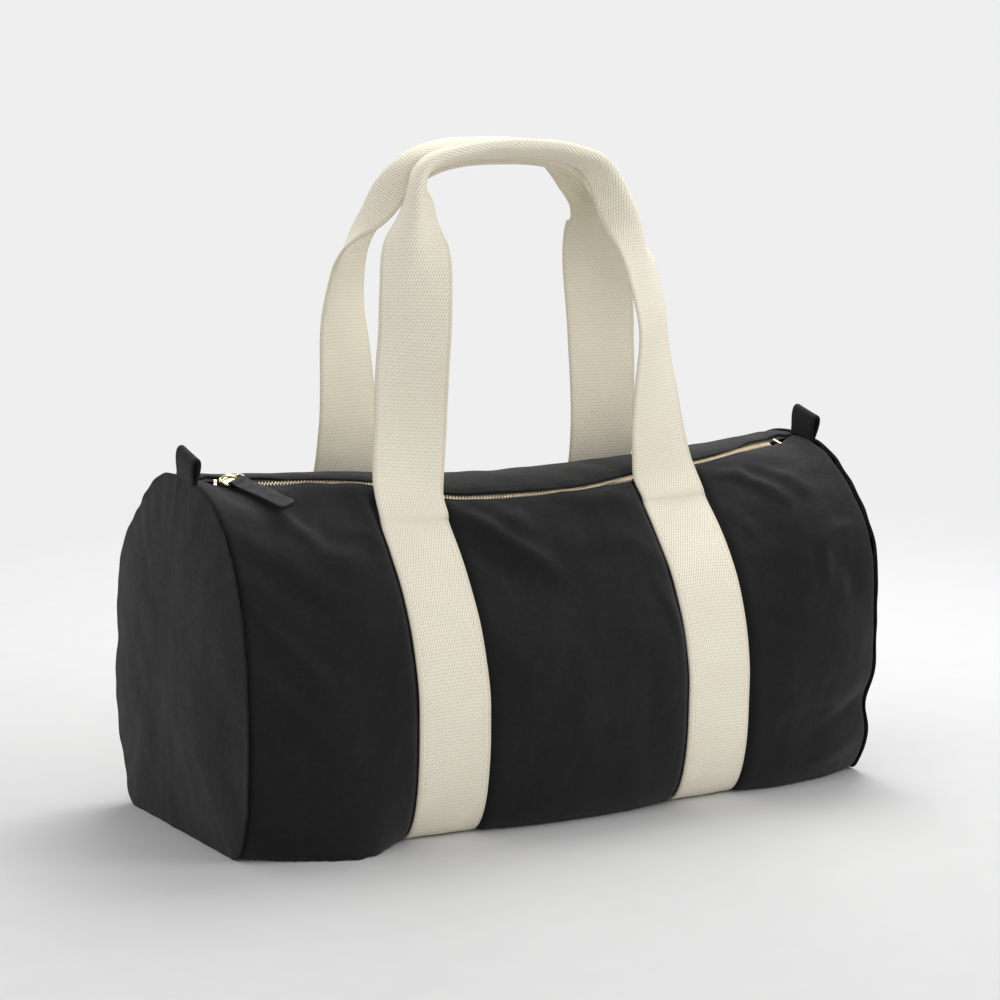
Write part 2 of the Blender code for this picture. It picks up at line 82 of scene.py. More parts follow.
def mix(a, b, t):
    return a + (b - a) * t


def ease(t):
    t = np.clip(t, 0, 1)
    return t * t * (3 - 2 * t)


def onset(value, start, size):
    """0 up to the start, easing to 1 over the size."""
    return ease((value - start) / size)


def bell(value, centre, size):
    return np.exp(-(((value - centre) / size) ** 2))


def bells(value, table):
    return sum(height * bell(value, centre, size) for height, centre, size in table)


def unit(v):
    return v / np.maximum(np.linalg.norm(v, axis=-1, keepdims=True), 1e-12)


def blur(values, rounds):
    """Smooths along the first axis and keeps both ends."""
    values = np.array(values, float)
    for _ in range(rounds):
        values[1:-1] = (values[:-2] + 2 * values[1:-1] + values[2:]) / 4
    return values


# How far the zip lies above its plain arc along the bag, in mm: pulled up by the
# left handle, and a little towards the right
RISE = (
    (-237.9, 0), (-212, 0), (-190, 3), (-165, 6.8), (-140, 8.2), (-120, 7.8), (-100, 5.2),
    (-80, 1.6), (-60, -0.8), (-30, 0.2), (0, 0.8), (30, 0.9), (60, 2.6), (100, 3.6),
    (136, 4), (173, 4.2), (195, 2.6), (212, 0), (237.9, 0),
)
FINE_X = np.linspace(-HALF, HALF, 477)
FINE_Z = blur(np.interp(FINE_X, *(np.array(RISE) / MM).T), 60)
# How far the handles' feet draw the zip back, and over what length
DRAWN_BACK, DRAWN_RUN = 0.0060, 0.034


def zip_point(angle, inward=0.0, lift=0.0):
    """A point of the sagging zip, by its angle round the arc's centre."""
    given = (np.asarray(v, float) for v in (angle, inward, lift))
    angle, inward, lift = (v[..., None] for v in np.broadcast_arrays(*given))
    radial = X_AXIS * np.sin(angle) - ACROSS * np.cos(angle)
    point = CENTRE + radial * (ZIP_R - inward) + UPWARD * lift
    x = point[..., 0]
    point[..., 2] += np.interp(x, FINE_X, FINE_Z)
    point[..., 1] += DRAWN_BACK * (bell(x, -BAND, DRAWN_RUN) + bell(x, BAND, DRAWN_RUN))
    return point


def zip_edge(x, inward, lift):
    return zip_point(np.arcsin(np.asarray(x, float) / (ZIP_R - inward)), inward, lift)


def zip_axes(angle):
    """The zip's directions at an angle: along it, towards the arc's centre and up."""
    along = X_AXIS * math.cos(angle) + ACROSS * math.sin(angle)
    return np.array((along, np.cross(UPWARD, along), UPWARD))


def zip_frame(x):
    angle = math.asin(x / ZIP_R)
    place = Matrix(zip_axes(angle).T.tolist()).to_4x4()
    place.translation = Vector(zip_point(angle))
    return place


def mouth(x):
    """Half the distance between the hems at x: wide where the slider stops, all but
    closed past the stops."""
    a = np.abs(x)
    wide = 0.0020 + 0.0035 * onset(a, 0.1700, 0.020) + 0.0018 * bell(x, -0.045, 0.032)
    return wide * (1 - 0.80 * onset(a, 0.2205, 0.0075))


def feet(x):
    """How much further the filled bag spreads on the floor between the seams and
    bands: at the front and at the back."""
    left = onset(x, -HALF, 0.030) * (1 - onset(x, -0.160, 0.036))
    middle = onset(x, -0.078, 0.045) * (1 - onset(x, 0.033, 0.045))
    right = onset(x, 0.124, 0.040) * (1 - onset(x, 0.200, 0.0379))
    front = 0.0130 * left + 0.0040 * middle + 0.0060 * right
    sag = 0.0200 * bell(x, -0.1720, 0.0300)
    return front + sag, 0.0080 * left + 0.0030 * middle + 0.0050 * right


# How far in the settled ends lie, as (how far, at what height, over what height)
LEFT_BACK = (
    (0.0120, 0.212, 0.024), (0.0065, 0.022, 0.020),
    (0.0040, 0.112, 0.012), (-0.0015, 0.080, 0.020),
)
RIGHT_FRONT = (
    (0.0012, 0.212, 0.020), (-0.0068, 0.163, 0.036),
    (0.0095, 0.050, 0.017), (0.0040, 0.010, 0.016),
)


def settle(x, points):
    """The soft bag's own set: its left end's drawn-in back, and its right end's
    sloping front shoulder."""
    y, z = points[:, 0].copy(), points[:, 1].copy()
    left, right = onset(-x, 0.1300, 0.1079), onset(x, 0.1300, 0.1079)
    back, front = onset(y, 0.020, 0.030), onset(-y, 0.020, 0.030)
    y -= left * back * bells(z, LEFT_BACK)
    y += right * front * bells(z, RIGHT_FRONT)
    y -= right * back * 0.0050 * bell(z, 0.212, 0.024)
    # the straps draw the front shoulder back where they leave it
    drawn = bells(x, ((0.0030, -BAND, 0.045), (0.0070, BAND, 0.050)))
    y += front * drawn * bell(z, 0.205, 0.032)
    # a shallow hollow behind the middle of the zip
    z -= bell(x, -0.030, 0.034) * 0.0042 * bell(y, 0.026, 0.022) * onset(z, 0.15, 0.03)
    return np.c_[y, z]


def outline(x):
    """The section at x, as y and z: from the mouth's back edge over the back, under
    and up to its front edge."""
    steps = 300
    share = min(abs(x) / HALF, 1) ** 2
    width = mix(*WIDTHS, share)
    height = mix(*HEIGHTS, share) - BELLY
    power = 2 / mix(*POWERS, share)
    shift = SHIFT * share

    def top(start, end):
        a = np.linspace(start, end, steps + 1)
        c = np.cos(a)
        y = shift + width * np.sign(c) * np.abs(c) ** power
        return np.c_[y, BELLY + height * np.abs(np.sin(a)) ** power]

    def angle_at(y):
        side = (y - shift) / width
        return math.acos(math.copysign(abs(side) ** (1 / power), side))

    def low(turn, foot, side):
        reach = foot + (width - foot) * np.cos(turn) ** LOW_POWER
        return np.c_[shift + side * reach, BELLY * (1 - np.sin(turn) ** LOW_POWER)]

    half_mouth = mouth(x)
    back, front = (zip_edge(x, inward, LIFT)[1:] for inward in (half_mouth, -half_mouth))
    one = top(angle_at(back[0]), 0)
    one[:, 1] += (back[1] - one[0, 1]) * (1 - onset(one[:, 0], back[0], MOUTH_BLEND))
    two = top(math.pi, angle_at(front[0]))
    two[:, 1] += (front[1] - two[-1, 1]) * (1 - onset(-two[:, 0], -front[0], MOUTH_BLEND))
    turn = np.linspace(0, math.pi / 2, steps + 1)[1:-1]
    front_foot, back_foot = (FOOT + more for more in feet(x))
    flat = shift + np.linspace(back_foot, -front_foot, steps + 1)
    bottom = np.c_[flat, np.zeros(steps + 1)]
    around = one, low(turn, back_foot, 1), bottom, low(turn[::-1], front_foot, -1), two
    return settle(x, np.concatenate(around))


def lengths_of(points):
    return np.r_[0, np.cumsum(np.linalg.norm(np.diff(points, axis=0), axis=1))]


def at_lengths(points, lengths, places):
    return np.transpose([np.interp(places, lengths, column) for column in points.T])


def evenly(points, count):
    """The line in even steps, and its running length at each of them."""
    lengths = lengths_of(points)
    places = np.linspace(0, lengths[-1], count)
    return at_lengths(points, lengths, places), places


def section(x):
    """The outline at x, its running lengths, and the length at the bottom's middle."""
    points = outline(x)
    lengths = lengths_of(points)
    shift = SHIFT * min(abs(x) / HALF, 1) ** 2
    flat = np.abs(points[:, 1]) < 1e-9
    return points, lengths, np.interp(-shift, -points[flat, 0], lengths[flat])


def wave_noise(a, b, size, seed):
    """Soft seeded noise of about plus and minus 1 over two coordinates, with features
    of the given size, for the unevenness of real cloth."""
    state = np.random.RandomState(seed)
    waves = 14
    total = np.zeros(np.broadcast(a, b).shape)
    for _ in range(waves):
        angle = state.uniform(0, 2 * math.pi)
        rate = 2 * math.pi / (size * state.uniform(0.75, 1.7))
        phase = state.uniform(0, 2 * math.pi)
        total += np.sin((a * math.cos(angle) + b * math.sin(angle)) * rate + phase)
    return total / math.sqrt(waves) / 1.1


# Meshes
def put_in_scene(name, data):
    made = bpy.data.objects.new(name, data)
    bpy.context.scene.collection.objects.link(made)
    return made


def finish_mesh(name, points, faces, looks, uv=None, marks=None):
    mesh = bpy.data.meshes.new(name)
    mesh.from_pydata([tuple(p) for p in points], [], [list(map(int, f)) for f in faces])
    for look in looks:
        mesh.materials.append(look)
    if uv is not None:
        layer = mesh.uv_layers.new(name="Weave")
        index = np.zeros(len(mesh.loops), np.int32)
        mesh.loops.foreach_get("vertex_index", index)
        layer.data.foreach_set("uv", np.asarray(uv, np.float32)[index].ravel())
    if marks is not None:
        mesh.polygons.foreach_set("material_index", np.asarray(marks, np.int32))
    mesh.update()
    mesh.shade_smooth()
    return put_in_scene(name, mesh)


def quads_between(here, beyond):
    """Quads from each ring of point numbers to the one beyond it."""
    corners = [here, np.roll(here, -1, 1), np.roll(beyond, -1, 1), beyond]
    return np.stack(corners, -1).reshape(-1, 4)


def inside_out(points, quads):
    """Whether the quads of a closed mesh face inwards, by the sign of its volume."""
    a, b, c, d = (points[quads[:, k]] for k in range(4))
    return np.sum(a * np.cross(b, c) + a * np.cross(c, d)) < 0


def tube(name, rings, looks, uv=None, marks=None, closed=False):
    """A closed mesh through rings of points. Each ring's points pair up across its
    thickness, and those pairs cap the ends."""
    rows, count, _ = rings.shape
    index = np.arange(rows * count).reshape(rows, count)
    here = index if closed else index[:-1]
    faces = quads_between(here, np.roll(index, -1, 0) if closed else index[1:])
    if marks is not None:
        marks = np.tile(marks, len(here))
    if not closed:
        caps = []
        for ring, order in ((index[0], 1), (index[-1], -1)):
            for k in range(count // 2 - 1):
                quad = [ring[k], ring[count - 1 - k], ring[count - 2 - k], ring[k + 1]]
                caps.append(quad[::order])
        faces = np.r_[faces, caps]
        if marks is not None:
            marks = np.r_[marks, np.zeros(len(caps), int)]
    points = rings.reshape(-1, 3)
    if inside_out(points, faces):
        faces = faces[:, ::-1]
    uv = None if uv is None else uv.reshape(-1, 2)
    return finish_mesh(name, points, faces, looks, uv, marks)


def towards(normals, outward):
    return -normals if np.sum(normals * outward) < 0 else normals


def normals_of(grid, outward):
    """Normals of a grid of points, by central differences, on its outward side."""
    along, across = (np.gradient(grid, axis=axis) for axis in (0, 1))
    return towards(unit(np.cross(along, across)), outward)


def ribbon(name, mids, normals, thick, looks, places, lateral, closed=False, inner=0):
    """A strip with rounded edges through rows of middle points. The face against the
    normals may have its own material."""
    half = thick / 2
    rows, count, _ = mids.shape
    turns = (0.25, 0.5, 0.75)

    def edge(column, inside, order):
        side = unit(mids[:, column] - mids[:, inside])
        points = []
        for turn in turns:
            angle = math.pi * (turn if order > 0 else 1 - turn)
            out = normals[:, column] * half * math.cos(angle)
            points.append(mids[:, column] + out + side * half * math.sin(angle))
        return np.stack(points, 1), flat_uv([lateral[column] + order * half] * len(turns))

    def flat_uv(across):
        shape = rows, len(across)
        along = np.broadcast_to(places[:, None], shape)
        return np.dstack([np.broadcast_to(across, shape), along])

    def around(outer, right, under, left):
        """The ring starts in the middle of one edge, so that its points pair up
        across the thickness."""
        ring = np.concatenate([outer, right, under[:, ::-1], left], 1)
        return np.roll(ring, len(turns) // 2, 1)

    face_uv = flat_uv(lateral)
    right, right_uv = edge(count - 1, count - 2, 1)
    left, left_uv = edge(0, 1, -1)
    ring = around(mids + normals * half, right, mids - normals * half, left)
    flat = around(face_uv, right_uv, face_uv, left_uv)
    marks = None
    if inner:
        marks = np.zeros(2 * count + 2 * len(turns), int)
        marks[count + len(turns) : 2 * count + len(turns) - 1] = inner
        marks = np.roll(marks, len(turns) // 2)
    return tube(name, ring, looks, flat, marks, closed)


def sweep(path, across):
    """A grid from a path of (x, z) points and its places across, along y."""
    grid = np.zeros((len(path), len(across), 3))
    grid[:, :, 0], grid[:, :, 2] = path[:, :1], path[:, 1:]
    grid[:, :, 1] = across
    return grid


def join(name, parts, look):
    """Many small closed shapes as one mesh. Each part is its points and faces."""
    points, faces, base = [], [], 0
    for shape, sides in parts:
        points.append(shape)
        faces += [[base + k for k in face] for face in sides]
        base += len(shape)
    return finish_mesh(name, np.concatenate(points), faces, [look])


def catmull(knots, count):
    """A smooth line through the knots, in even steps of their numbers."""
    knots = np.asarray(knots, float)
    last = len(knots) - 1
    place = np.linspace(0, last, count)
    knot = np.minimum(place.astype(int), last - 1)
    t = (place - knot)[:, None]
    near = [knots[np.clip(knot + k, 0, last)] for k in (-1, 0, 1, 2)]
    return (
        near[0] * (-t + 2 * t**2 - t**3) + near[1] * (2 - 5 * t**2 + 3 * t**3)
        + near[2] * (t + 4 * t**2 - 3 * t**3) + near[3] * (t**3 - t**2)
    ) / 2


# Materials
class Graph:
    """Short ways to make the nodes of one material."""

    def __init__(self, name):
        self.look = bpy.data.materials.new(name)
        self.look.use_nodes = True
        self.tree = self.look.node_tree
        self.shader = self.tree.nodes["Principled BSDF"]

    def put(self, socket, value):
        if isinstance(value, bpy.types.NodeSocket):
            self.tree.links.new(value, socket)
        elif value is not None:
            if socket.type == "RGBA" and len(value) == 3:
                value = (*value, 1)
            socket.default_value = value

    def node(self, kind, inputs=(), out=0, **settings):
        made = self.tree.nodes.new(kind)
        for key, value in settings.items():
            setattr(made, key, value)
        for key, value in dict(inputs).items():
            self.put(made.inputs[key], value)
        return made.outputs[out]

    def math(self, operation, *given):
        return self.node("ShaderNodeMath", enumerate(given), operation=operation)

    def plus(self, a, b):
        return self.math("ADD", a, b)

    def times(self, a, b):
        return self.math("MULTIPLY", a, b)

    def wave(self, value, pitch):
        return self.math("SINE", self.times(value, 2 * math.pi / pitch))

    def split(self, vector):
        made = self.tree.nodes.new("ShaderNodeSeparateXYZ")
        self.put(made.inputs[0], vector)
        return made.outputs[0], made.outputs[1]

    def weave(self):
        uv = self.node("ShaderNodeUVMap", uv_map="Weave")
        return uv, *self.split(uv)

    def scaled(self, vector, rate):
        """The vector in features a metre, the same both ways or given for each."""
        rate = rate if isinstance(rate, tuple) else (rate, rate)
        return self.node("ShaderNodeMapping", {"Vector": vector, "Scale": (*rate, 1)})

    def noise(self, vector, scale, detail, roughness=0.5):
        sizes = {"Vector": vector, "Scale": scale, "Detail": detail}
        return self.node("ShaderNodeTexNoise", {**sizes, "Roughness": roughness})

    def grain(self, uv, rate, detail, roughness=0.5):
        return self.noise(self.scaled(uv, rate), 1.0, detail, roughness)

    def cells(self, uv, rate):
        sizes = {"Vector": self.scaled(uv, rate), "Scale": 1.0}
        return self.node("ShaderNodeTexVoronoi", sizes)

    def ramp(self, value, *stops):
        made = self.tree.nodes.new("ShaderNodeValToRGB")
        self.put(made.inputs[0], value)
        elements = made.color_ramp.elements
        while len(elements) < len(stops):
            elements.new(0.5)
        for element, (place, colour) in zip(elements, stops):
            element.position = place
            element.color = (*colour, 1)
        return made.outputs[0]

    def blend(self, share, a, b):
        made = self.tree.nodes.new("ShaderNodeMix")
        made.data_type = "RGBA"
        for socket, value in ((0, share), (6, a), (7, b)):
            self.put(made.inputs[socket], value)
        return made.outputs[2]

    def range(self, value, low, high, to_low=0.0, to_high=1.0):
        sizes = {"Value": value, "From Min": low, "From Max": high}
        sizes |= {"To Min": to_low, "To Max": to_high}
        return self.node("ShaderNodeMapRange", sizes, interpolation_type="SMOOTHSTEP")

    def bump(self, height, distance, strength, normal=None):
        sizes = {"Height": height, "Distance": distance, "Strength": strength}
        return self.node("ShaderNodeBump", {**sizes, "Normal": normal})

    def done(self, colour, roughness, normal=None, **fixed):
        given = {"Base Color": colour, "Roughness": roughness, "Normal": normal, **fixed}
        for key, value in given.items():
            self.put(self.shader.inputs[key.replace("_", " ")], value)
        return self.look


CLOTH = (0.0078, 0.0078, 0.0082)


def canvas_look(name, tone=1.0):
    """Black cotton canvas: a fine plain weave with slubs, a little lint and soft
    uneven dye."""
    g = Graph(name)
    uv, u, v = g.weave()
    pitch = 0.00065
    plain = g.times(g.wave(u, pitch), g.wave(v, pitch))
    slubs = g.plus(g.grain(uv, (1800, 90), 2), g.grain(uv, (90, 1800), 2))
    height = g.plus(g.times(plain, 0.35), g.times(slubs, 0.8))
    crumple = g.bump(g.grain(uv, 70, 4, 0.6), 0.0009, 0.55)
    normal = g.bump(height, 0.00012, 0.8, crumple)
    dye, fine = g.grain(uv, 16, 3), g.grain(uv, 260, 2)

    def dyed(share):
        return tuple(c * share for c in CLOTH)

    colour = g.blend(g.range(dye, 0.3, 0.7), dyed(0.80 * tone), dyed(1.22 * tone))
    colour = g.blend(g.range(fine, 0.35, 0.75, 0, 0.35), colour, dyed(1.5))
    colour = g.blend(g.range(slubs, 1.02, 1.35, 0, 0.5), colour, dyed(1.9))
    lint = g.range(g.cells(uv, 95), 0.030, 0.018, 0, 0.25)
    colour = g.blend(lint, colour, (0.10, 0.097, 0.094))
    sheen = {"Sheen_Weight": 0.09, "Sheen_Roughness": 0.5}
    rough = g.range(fine, 0.3, 0.7, 0.82, 0.94)
    return g.done(colour, rough, normal, Specular_IOR_Level=0.20, **sheen)


def webbing_look(name, depth, places):
    """Natural cotton webbing: rows of plump crossing floats like small bricks, with
    plain selvedges. The colour follows the height, with painted shade in the low gaps between
    the floats. The places are the heights at which each tone is reached."""
    g = Graph(name)
    uv, u, v = g.weave()
    float_width, float_row, rib = 0.00187, 0.00217, 0.00108
    across = g.math("DIVIDE", u, float_width)
    along = g.math("DIVIDE", v, float_row)
    along = g.plus(along, g.times(g.grain(uv, 320, 1), 0.22))
    across = g.plus(across, g.times(g.grain(uv, 240, 1), 0.16))
    row = g.math("ABSOLUTE", g.math("FLOOR", along))
    odd = g.times(g.math("MODULO", row, 2.0), 0.5)
    aside = g.math("SUBTRACT", g.math("FRACT", g.plus(across, odd)), 0.5)
    ahead = g.math("SUBTRACT", g.math("FRACT", along), 0.5)
    du = g.math("ABSOLUTE", g.plus(aside, g.times(ahead, 0.34)))
    dv = g.math("ABSOLUTE", ahead)
    ru = g.math("POWER", g.math("DIVIDE", du, 0.50), 2.0)
    rv = g.math("POWER", g.math("DIVIDE", dv, 0.74), 2.0)
    inside = g.math("MAXIMUM", g.math("SUBTRACT", 1.0, g.plus(ru, rv)), 0.0)
    body = g.times(g.math("SQRT", inside), depth)
    ribs = g.times(g.plus(g.wave(v, rib), 1), 0.3)
    border = WEB_WIDTH / 2 - 0.0032, WEB_WIDTH / 2 - 0.0024
    edge = g.range(g.math("ABSOLUTE", u), *border)
    height = g.node("ShaderNodeMix", {0: edge, 2: body, 3: ribs})
    height = g.plus(height, g.times(g.wave(across, 1 / 3), 0.03))
    fibre = g.grain(uv, (2600, 500), 2)
    height = g.plus(height, g.times(fibre, 0.12))
    # the darkest tone paints shade into the low gaps between the floats; the pale tone is the
    # yarn's own cream
    gap_shade_and_float_tones = (0.595, 0.530, 0.398), (0.875, 0.818, 0.665), (0.955, 0.905, 0.762)
    colour = g.ramp(height, *zip(places, gap_shade_and_float_tones))
    soft = g.range(g.grain(uv, 22, 3), 0.3, 0.7, 0.0, 0.16)
    colour = g.blend(soft, colour, (0.72, 0.65, 0.51))
    colour = g.blend(g.range(fibre, 0.55, 0.85, 0, 0.25), colour, (0.95, 0.91, 0.80))
    normal = g.bump(height, 0.00042, 0.75)
    sheen = {"Sheen_Weight": 0.12, "Sheen_Roughness": 0.5}
    return g.done(colour, 0.88, normal, Specular_IOR_Level=0.25, **sheen)


def tape_look(name):
    """Black woven zip tape: close ribs across its width."""
    g = Graph(name)
    uv, u, v = g.weave()
    ribs, twill = g.wave(u, 0.00055), g.wave(g.plus(u, v), 0.0008)
    normal = g.bump(g.plus(g.times(ribs, 0.5), g.times(twill, 0.3)), 0.0001, 0.8)
    shade = g.range(g.grain(uv, 600, 2), 0.3, 0.7)
    colour = g.blend(shade, (0.011, 0.011, 0.012), (0.024, 0.024, 0.025))
    return g.done(colour, 0.8, normal, Sheen_Weight=0.15, Specular_IOR_Level=0.3)


def strip_look(name):
    """Smooth black coated strip, with a very fine grain."""
    g = Graph(name)
    uv = g.weave()[0]
    broad = g.grain(uv, 120, 3)
    colour = g.range(broad, 0.3, 0.7)
    colour = g.blend(colour, (0.0065, 0.0065, 0.007), (0.011, 0.011, 0.011))
    normal = g.bump(g.plus(g.cells(uv, 900), broad), 0.00008, 0.6)
    rough = g.range(broad, 0.3, 0.7, 0.62, 0.76)
    return g.done(colour, rough, normal, Specular_IOR_Level=0.25)


def brass_look(name, colour, dark):
    """Pale gold plated brass, a little darker in soft random patches."""
    g = Graph(name)
    place = g.node("ShaderNodeTexCoord", out="Object")
    cloud, fine = g.noise(place, 160.0, 3), g.noise(place, 1500.0, 3)
    shade = g.blend(g.range(cloud, 0.35, 0.7, 0.0, 0.5), colour, dark)
    rough = g.range(fine, 0.3, 0.7, 0.30, 0.46)
    return g.done(shade, rough, g.bump(fine, 0.00003, 0.5), Metallic=1.0)


def thread_look(name, colour):
    g = Graph(name)
    place = g.node("ShaderNodeTexCoord", out="Object")
    sizes = {"Vector": place, "Scale": 900.0, "Distortion": 1.0}
    twist = g.node("ShaderNodeTexWave", sizes)
    # the twist's grooves are painted darker, as painted shade; the same wave makes the bump
    shade = g.blend(twist, tuple(c * 0.75 for c in colour), colour)
    normal = g.bump(twist, 0.00005, 0.6)
    return g.done(shade, 0.75, normal, Sheen_Weight=0.1, Specular_IOR_Level=0.3)


canvas = canvas_look("black_canvas")
# the end panels use the same canvas painted 5 percent lighter: painted light, for the brighter
# light that falls on the ends
end_canvas_painted_lighter = canvas_look("black_canvas_ends_painted_lighter", 1.05)
webbing = webbing_look("natural_webbing", 1.0, (0.05, 0.42, 0.85))
# the inner face: shallower floats, and less of the painted gap shade
webbing_inner = webbing_look("natural_webbing_inner", 0.75, (0.0, 0.28, 0.62))
zip_cloth = tape_look("black_zip_tape")
strip = strip_look("black_pull_strip")
brass = brass_look("brass", (0.66, 0.52, 0.33), (0.40, 0.30, 0.18))
teeth_brass = brass_look("teeth_brass", (0.60, 0.50, 0.35), (0.36, 0.28, 0.18))
black_thread = thread_look("black_thread", (0.020, 0.020, 0.021))
natural_thread = thread_look("natural_thread", (0.93, 0.88, 0.74))


# The barrel's canvas. Points on it are given by x and girth: the length round the
# bag from the middle of the bottom, plus at the front.
def crease(x, g, line, width, height, side=0):
    """A fold along a line of points in mm: a rounded ridge, or with a side a ridge
    with a hollow beside it."""
    line, width, height = np.reshape(line, (-1, 2)) / MM, width / MM, height / MM
    best = np.full(x.shape, 1e9)
    signed, share = np.zeros(x.shape), np.zeros(x.shape)
    lengths = lengths_of(line)
    for k in range(len(line) - 1):
        a, d = line[k], line[k + 1] - line[k]
        long = np.linalg.norm(d)
        t = np.clip(((x - a[0]) * d[0] + (g - a[1]) * d[1]) / (d @ d), 0, 1)
        px, pg = x - a[0] - t * d[0], g - a[1] - t * d[1]
        distance = np.hypot(px, pg)
        nearer = distance < best
        best = np.where(nearer, distance, best)
        signed = np.where(nearer, (px * d[1] - pg * d[0]) / long, signed)
        share = np.where(nearer, (lengths[k] + t * long) / lengths[-1], share)
    taper = np.sin(np.pi * np.clip(0.04 + 0.92 * share, 0, 1)) ** 0.6
    return height * taper * bell(best, 0, width) * (1 - side * np.clip(signed / width, -2, 2))


# Folds in mm, as (points of x and girth, width, height, side)
FOLDS = (
    # the left part: a ridge down from the puller, a hollow beside the seam and
    # slanting drags below
    ((-200, 330, -176, 302, -148, 280), 9, 2.4, 0.5),
    ((-162, 316, -146, 306, -129, 290), 6, 1.8),
    ((-233, 286, -213, 274, -182, 260), 10.5, -2.6),
    ((-236, 256, -216, 236, -190, 215), 6, 1.3, 0.4),
    ((-237, 236, -218, 216, -190, 189), 7.5, -1.2),
    ((-236, 215, -210, 190, -175, 170), 6, 1.1),
    ((-172, 256, -150, 240, -130, 233), 6, 1),
    # the middle: a sharp fold from the left band's top, slanting down
    ((-75, 311, -62, 301, -38, 279, -8, 254), 7.2, 3.6, 0.6),
    ((-56, 313, -38, 302, -20, 288), 8, 1.8, 0.3),
    ((-74, 290, -60, 274, -38, 256), 8, -2.2),
    ((18, 306, 45, 312, 74, 304), 7, 1.8),
    ((30, 286, 52, 276, 74.5, 259), 7, 1.2),
    ((60, 246, 65.5, 223, 70, 201), 5.2, 1.9, 0.7),
    ((-74, 228, -56, 206, -35, 190), 6.5, 0.9),
    ((-20, 170, 15, 155, 50, 152), 9, 0.8),
    # the right part: short folds under the zip, and a bowed dent before the seam
    ((138, 321, 156, 318, 172, 302, 182, 288), 5.6, 2.6, 0.7),
    ((170, 326, 188, 312, 200, 295), 5.8, 2.1, 0.5),
    ((130, 296, 144, 280, 156, 260), 6, 1.2),
    ((189, 233, 193.5, 256, 208, 268, 226, 266), 5.2, 2.6, -0.8),
    ((202, 248, 213, 235, 218, 217), 8, -2.6),
    ((133, 225, 156, 215, 180, 217), 7, 0.9),
    ((175, 125, 204, 133, 234, 147), 5.5, -1.8),
    ((185, 108, 208, 112, 234, 120), 6, 1.2),
    # the back, which drags much as the front does
    ((-233, -285, -195, -260, -150, -252), 7.5, 2.2, 0.5),
    ((-230, -235, -195, -215, -160, -185), 7, 1.3),
    ((-74, -300, -48, -278, -15, -262), 5.8, 2.6, 0.7),
    ((74, -290, 50, -260, 28, -235), 6.2, 2),
    ((-60, -220, -20, -205, 30, -210), 8, 1),
    ((130, -295, 162, -275, 190, -245), 6.2, 2.3, 0.5),
    ((233, -250, 205, -225, 170, -210), 7, 1.5),
)
# Broad hollows and swellings in mm, as (x, girth, size along x and girth, depth)
DENTS = (
    (-205, 245, 30, 30, 2.2), (-170, 150, 35, 40, -2), (-45, 255, 22, 20, 1.6),
    (30, 225, 35, 30, -1.2), (160, 270, 20, 22, 1.4), (200, 180, 30, 30, -2.2),
    (20, -250, 30, 30, 2), (-180, -230, 30, 30, 1.8),
)


def barrel_shape(x, g):
    """How far the canvas stands out from the plain loft."""
    a, wall = np.abs(x), np.abs(g)
    middle = np.clip(1 - (a / BAND_IN) ** 2, 0, 1)
    t = np.clip((a - BAND_OUT) / (HALF - BAND_OUT), 0, 1)
    ends = np.where(a > BAND_OUT, np.clip(4 * t * (1 - t), 0, 1) ** 0.8, 0)
    between = np.where(a < BAND_IN, middle ** 0.8, ends)
    lower = onset(wall, 0.070, 0.040) * (1 - onset(wall, 0.170, 0.090))
    upper = onset(wall, 0.150, 0.060) * (1 - onset(wall, 0.270, 0.060))
    out = between * (0.0052 * lower + 0.0022 * upper)
    still = onset(wall, 0.096, 0.035) * (1 - onset(wall, 0.325, 0.030))
    ends_still = ease((HALF - a) / 0.030)
    bands_still = ease(np.where(a < BAND_IN, BAND_IN - a, a - BAND_OUT) / 0.022)
    calm = still * (0.25 + 0.75 * ends_still) * (0.2 + 0.8 * bands_still)
    for height, size, seed in ((0.0011, 0.085, 3), (0.00050, 0.034, 5), (0.00022, 0.015, 7)):
        out += calm * height * wave_noise(x, g, size, seed)
    out += onset(wall, 0.29, 0.02) * 0.00035 * wave_noise(x, g, 0.030, 11) * ends_still
    for fold in FOLDS:
        out += crease(x, g, *fold)
    for px, pg, wide, high, depth in np.array(DENTS) / MM:
        out -= depth * bell(x, px, wide) * bell(g, pg, high)
    return out


def barrel_stations():
    """Places along x, close together beside the bands and the end seams."""
    beside = np.array((0.0004, 0.0012, 0.0022, 0.0035))
    places = np.concatenate((
        [0.0], np.linspace(0.003, BAND_IN - 0.005, 24), BAND_IN - beside[::-1],
        np.linspace(BAND_IN + 0.0010, BAND_OUT - 0.0010, 11), BAND_OUT + beside,
        np.linspace(BAND_OUT + 0.005, HALF - 0.0075, 32),
        HALF - np.array((0.0050, 0.0034, 0.0022, 0.0013, 0.0006, 0.0001)),
    ))
    return np.r_[-places[:0:-1], places]


def column_places(total):
    """Places round the section, close together at the hems."""
    hem = np.array((0, 0.0006, 0.0014, 0.0024, 0.0036, 0.0050, 0.0068, 0.0090, 0.0115))
    return np.r_[hem, np.linspace(0.0140, total - 0.0140, 250), (total - hem)[::-1]]


def barrel_grid():
    """The outline of the canvas at every station, with its girths."""
    grid, girth = [], []
    for x in stations:
        points, lengths, bottom = section(x)
        places = column_places(lengths[-1])
        row = at_lengths(points, lengths, places)
        grid.append(np.c_[np.full(len(places), x), row])
        girth.append(places - bottom)
    return np.array(grid), np.array(girth)


def band_reach(x, girths, z):
    """1 where a band presses the canvas in, easing to 0 beside it and above its top."""
    a = np.abs(x)
    away = np.maximum(np.maximum(BAND_IN - a, a - BAND_OUT), 0)
    top = np.where(girths > 0, onset(z, 0.2100, 0.007), onset(z, 0.1975, 0.012))
    return (1 - onset(away, 0.0004, 0.0050)) * (1 - top)


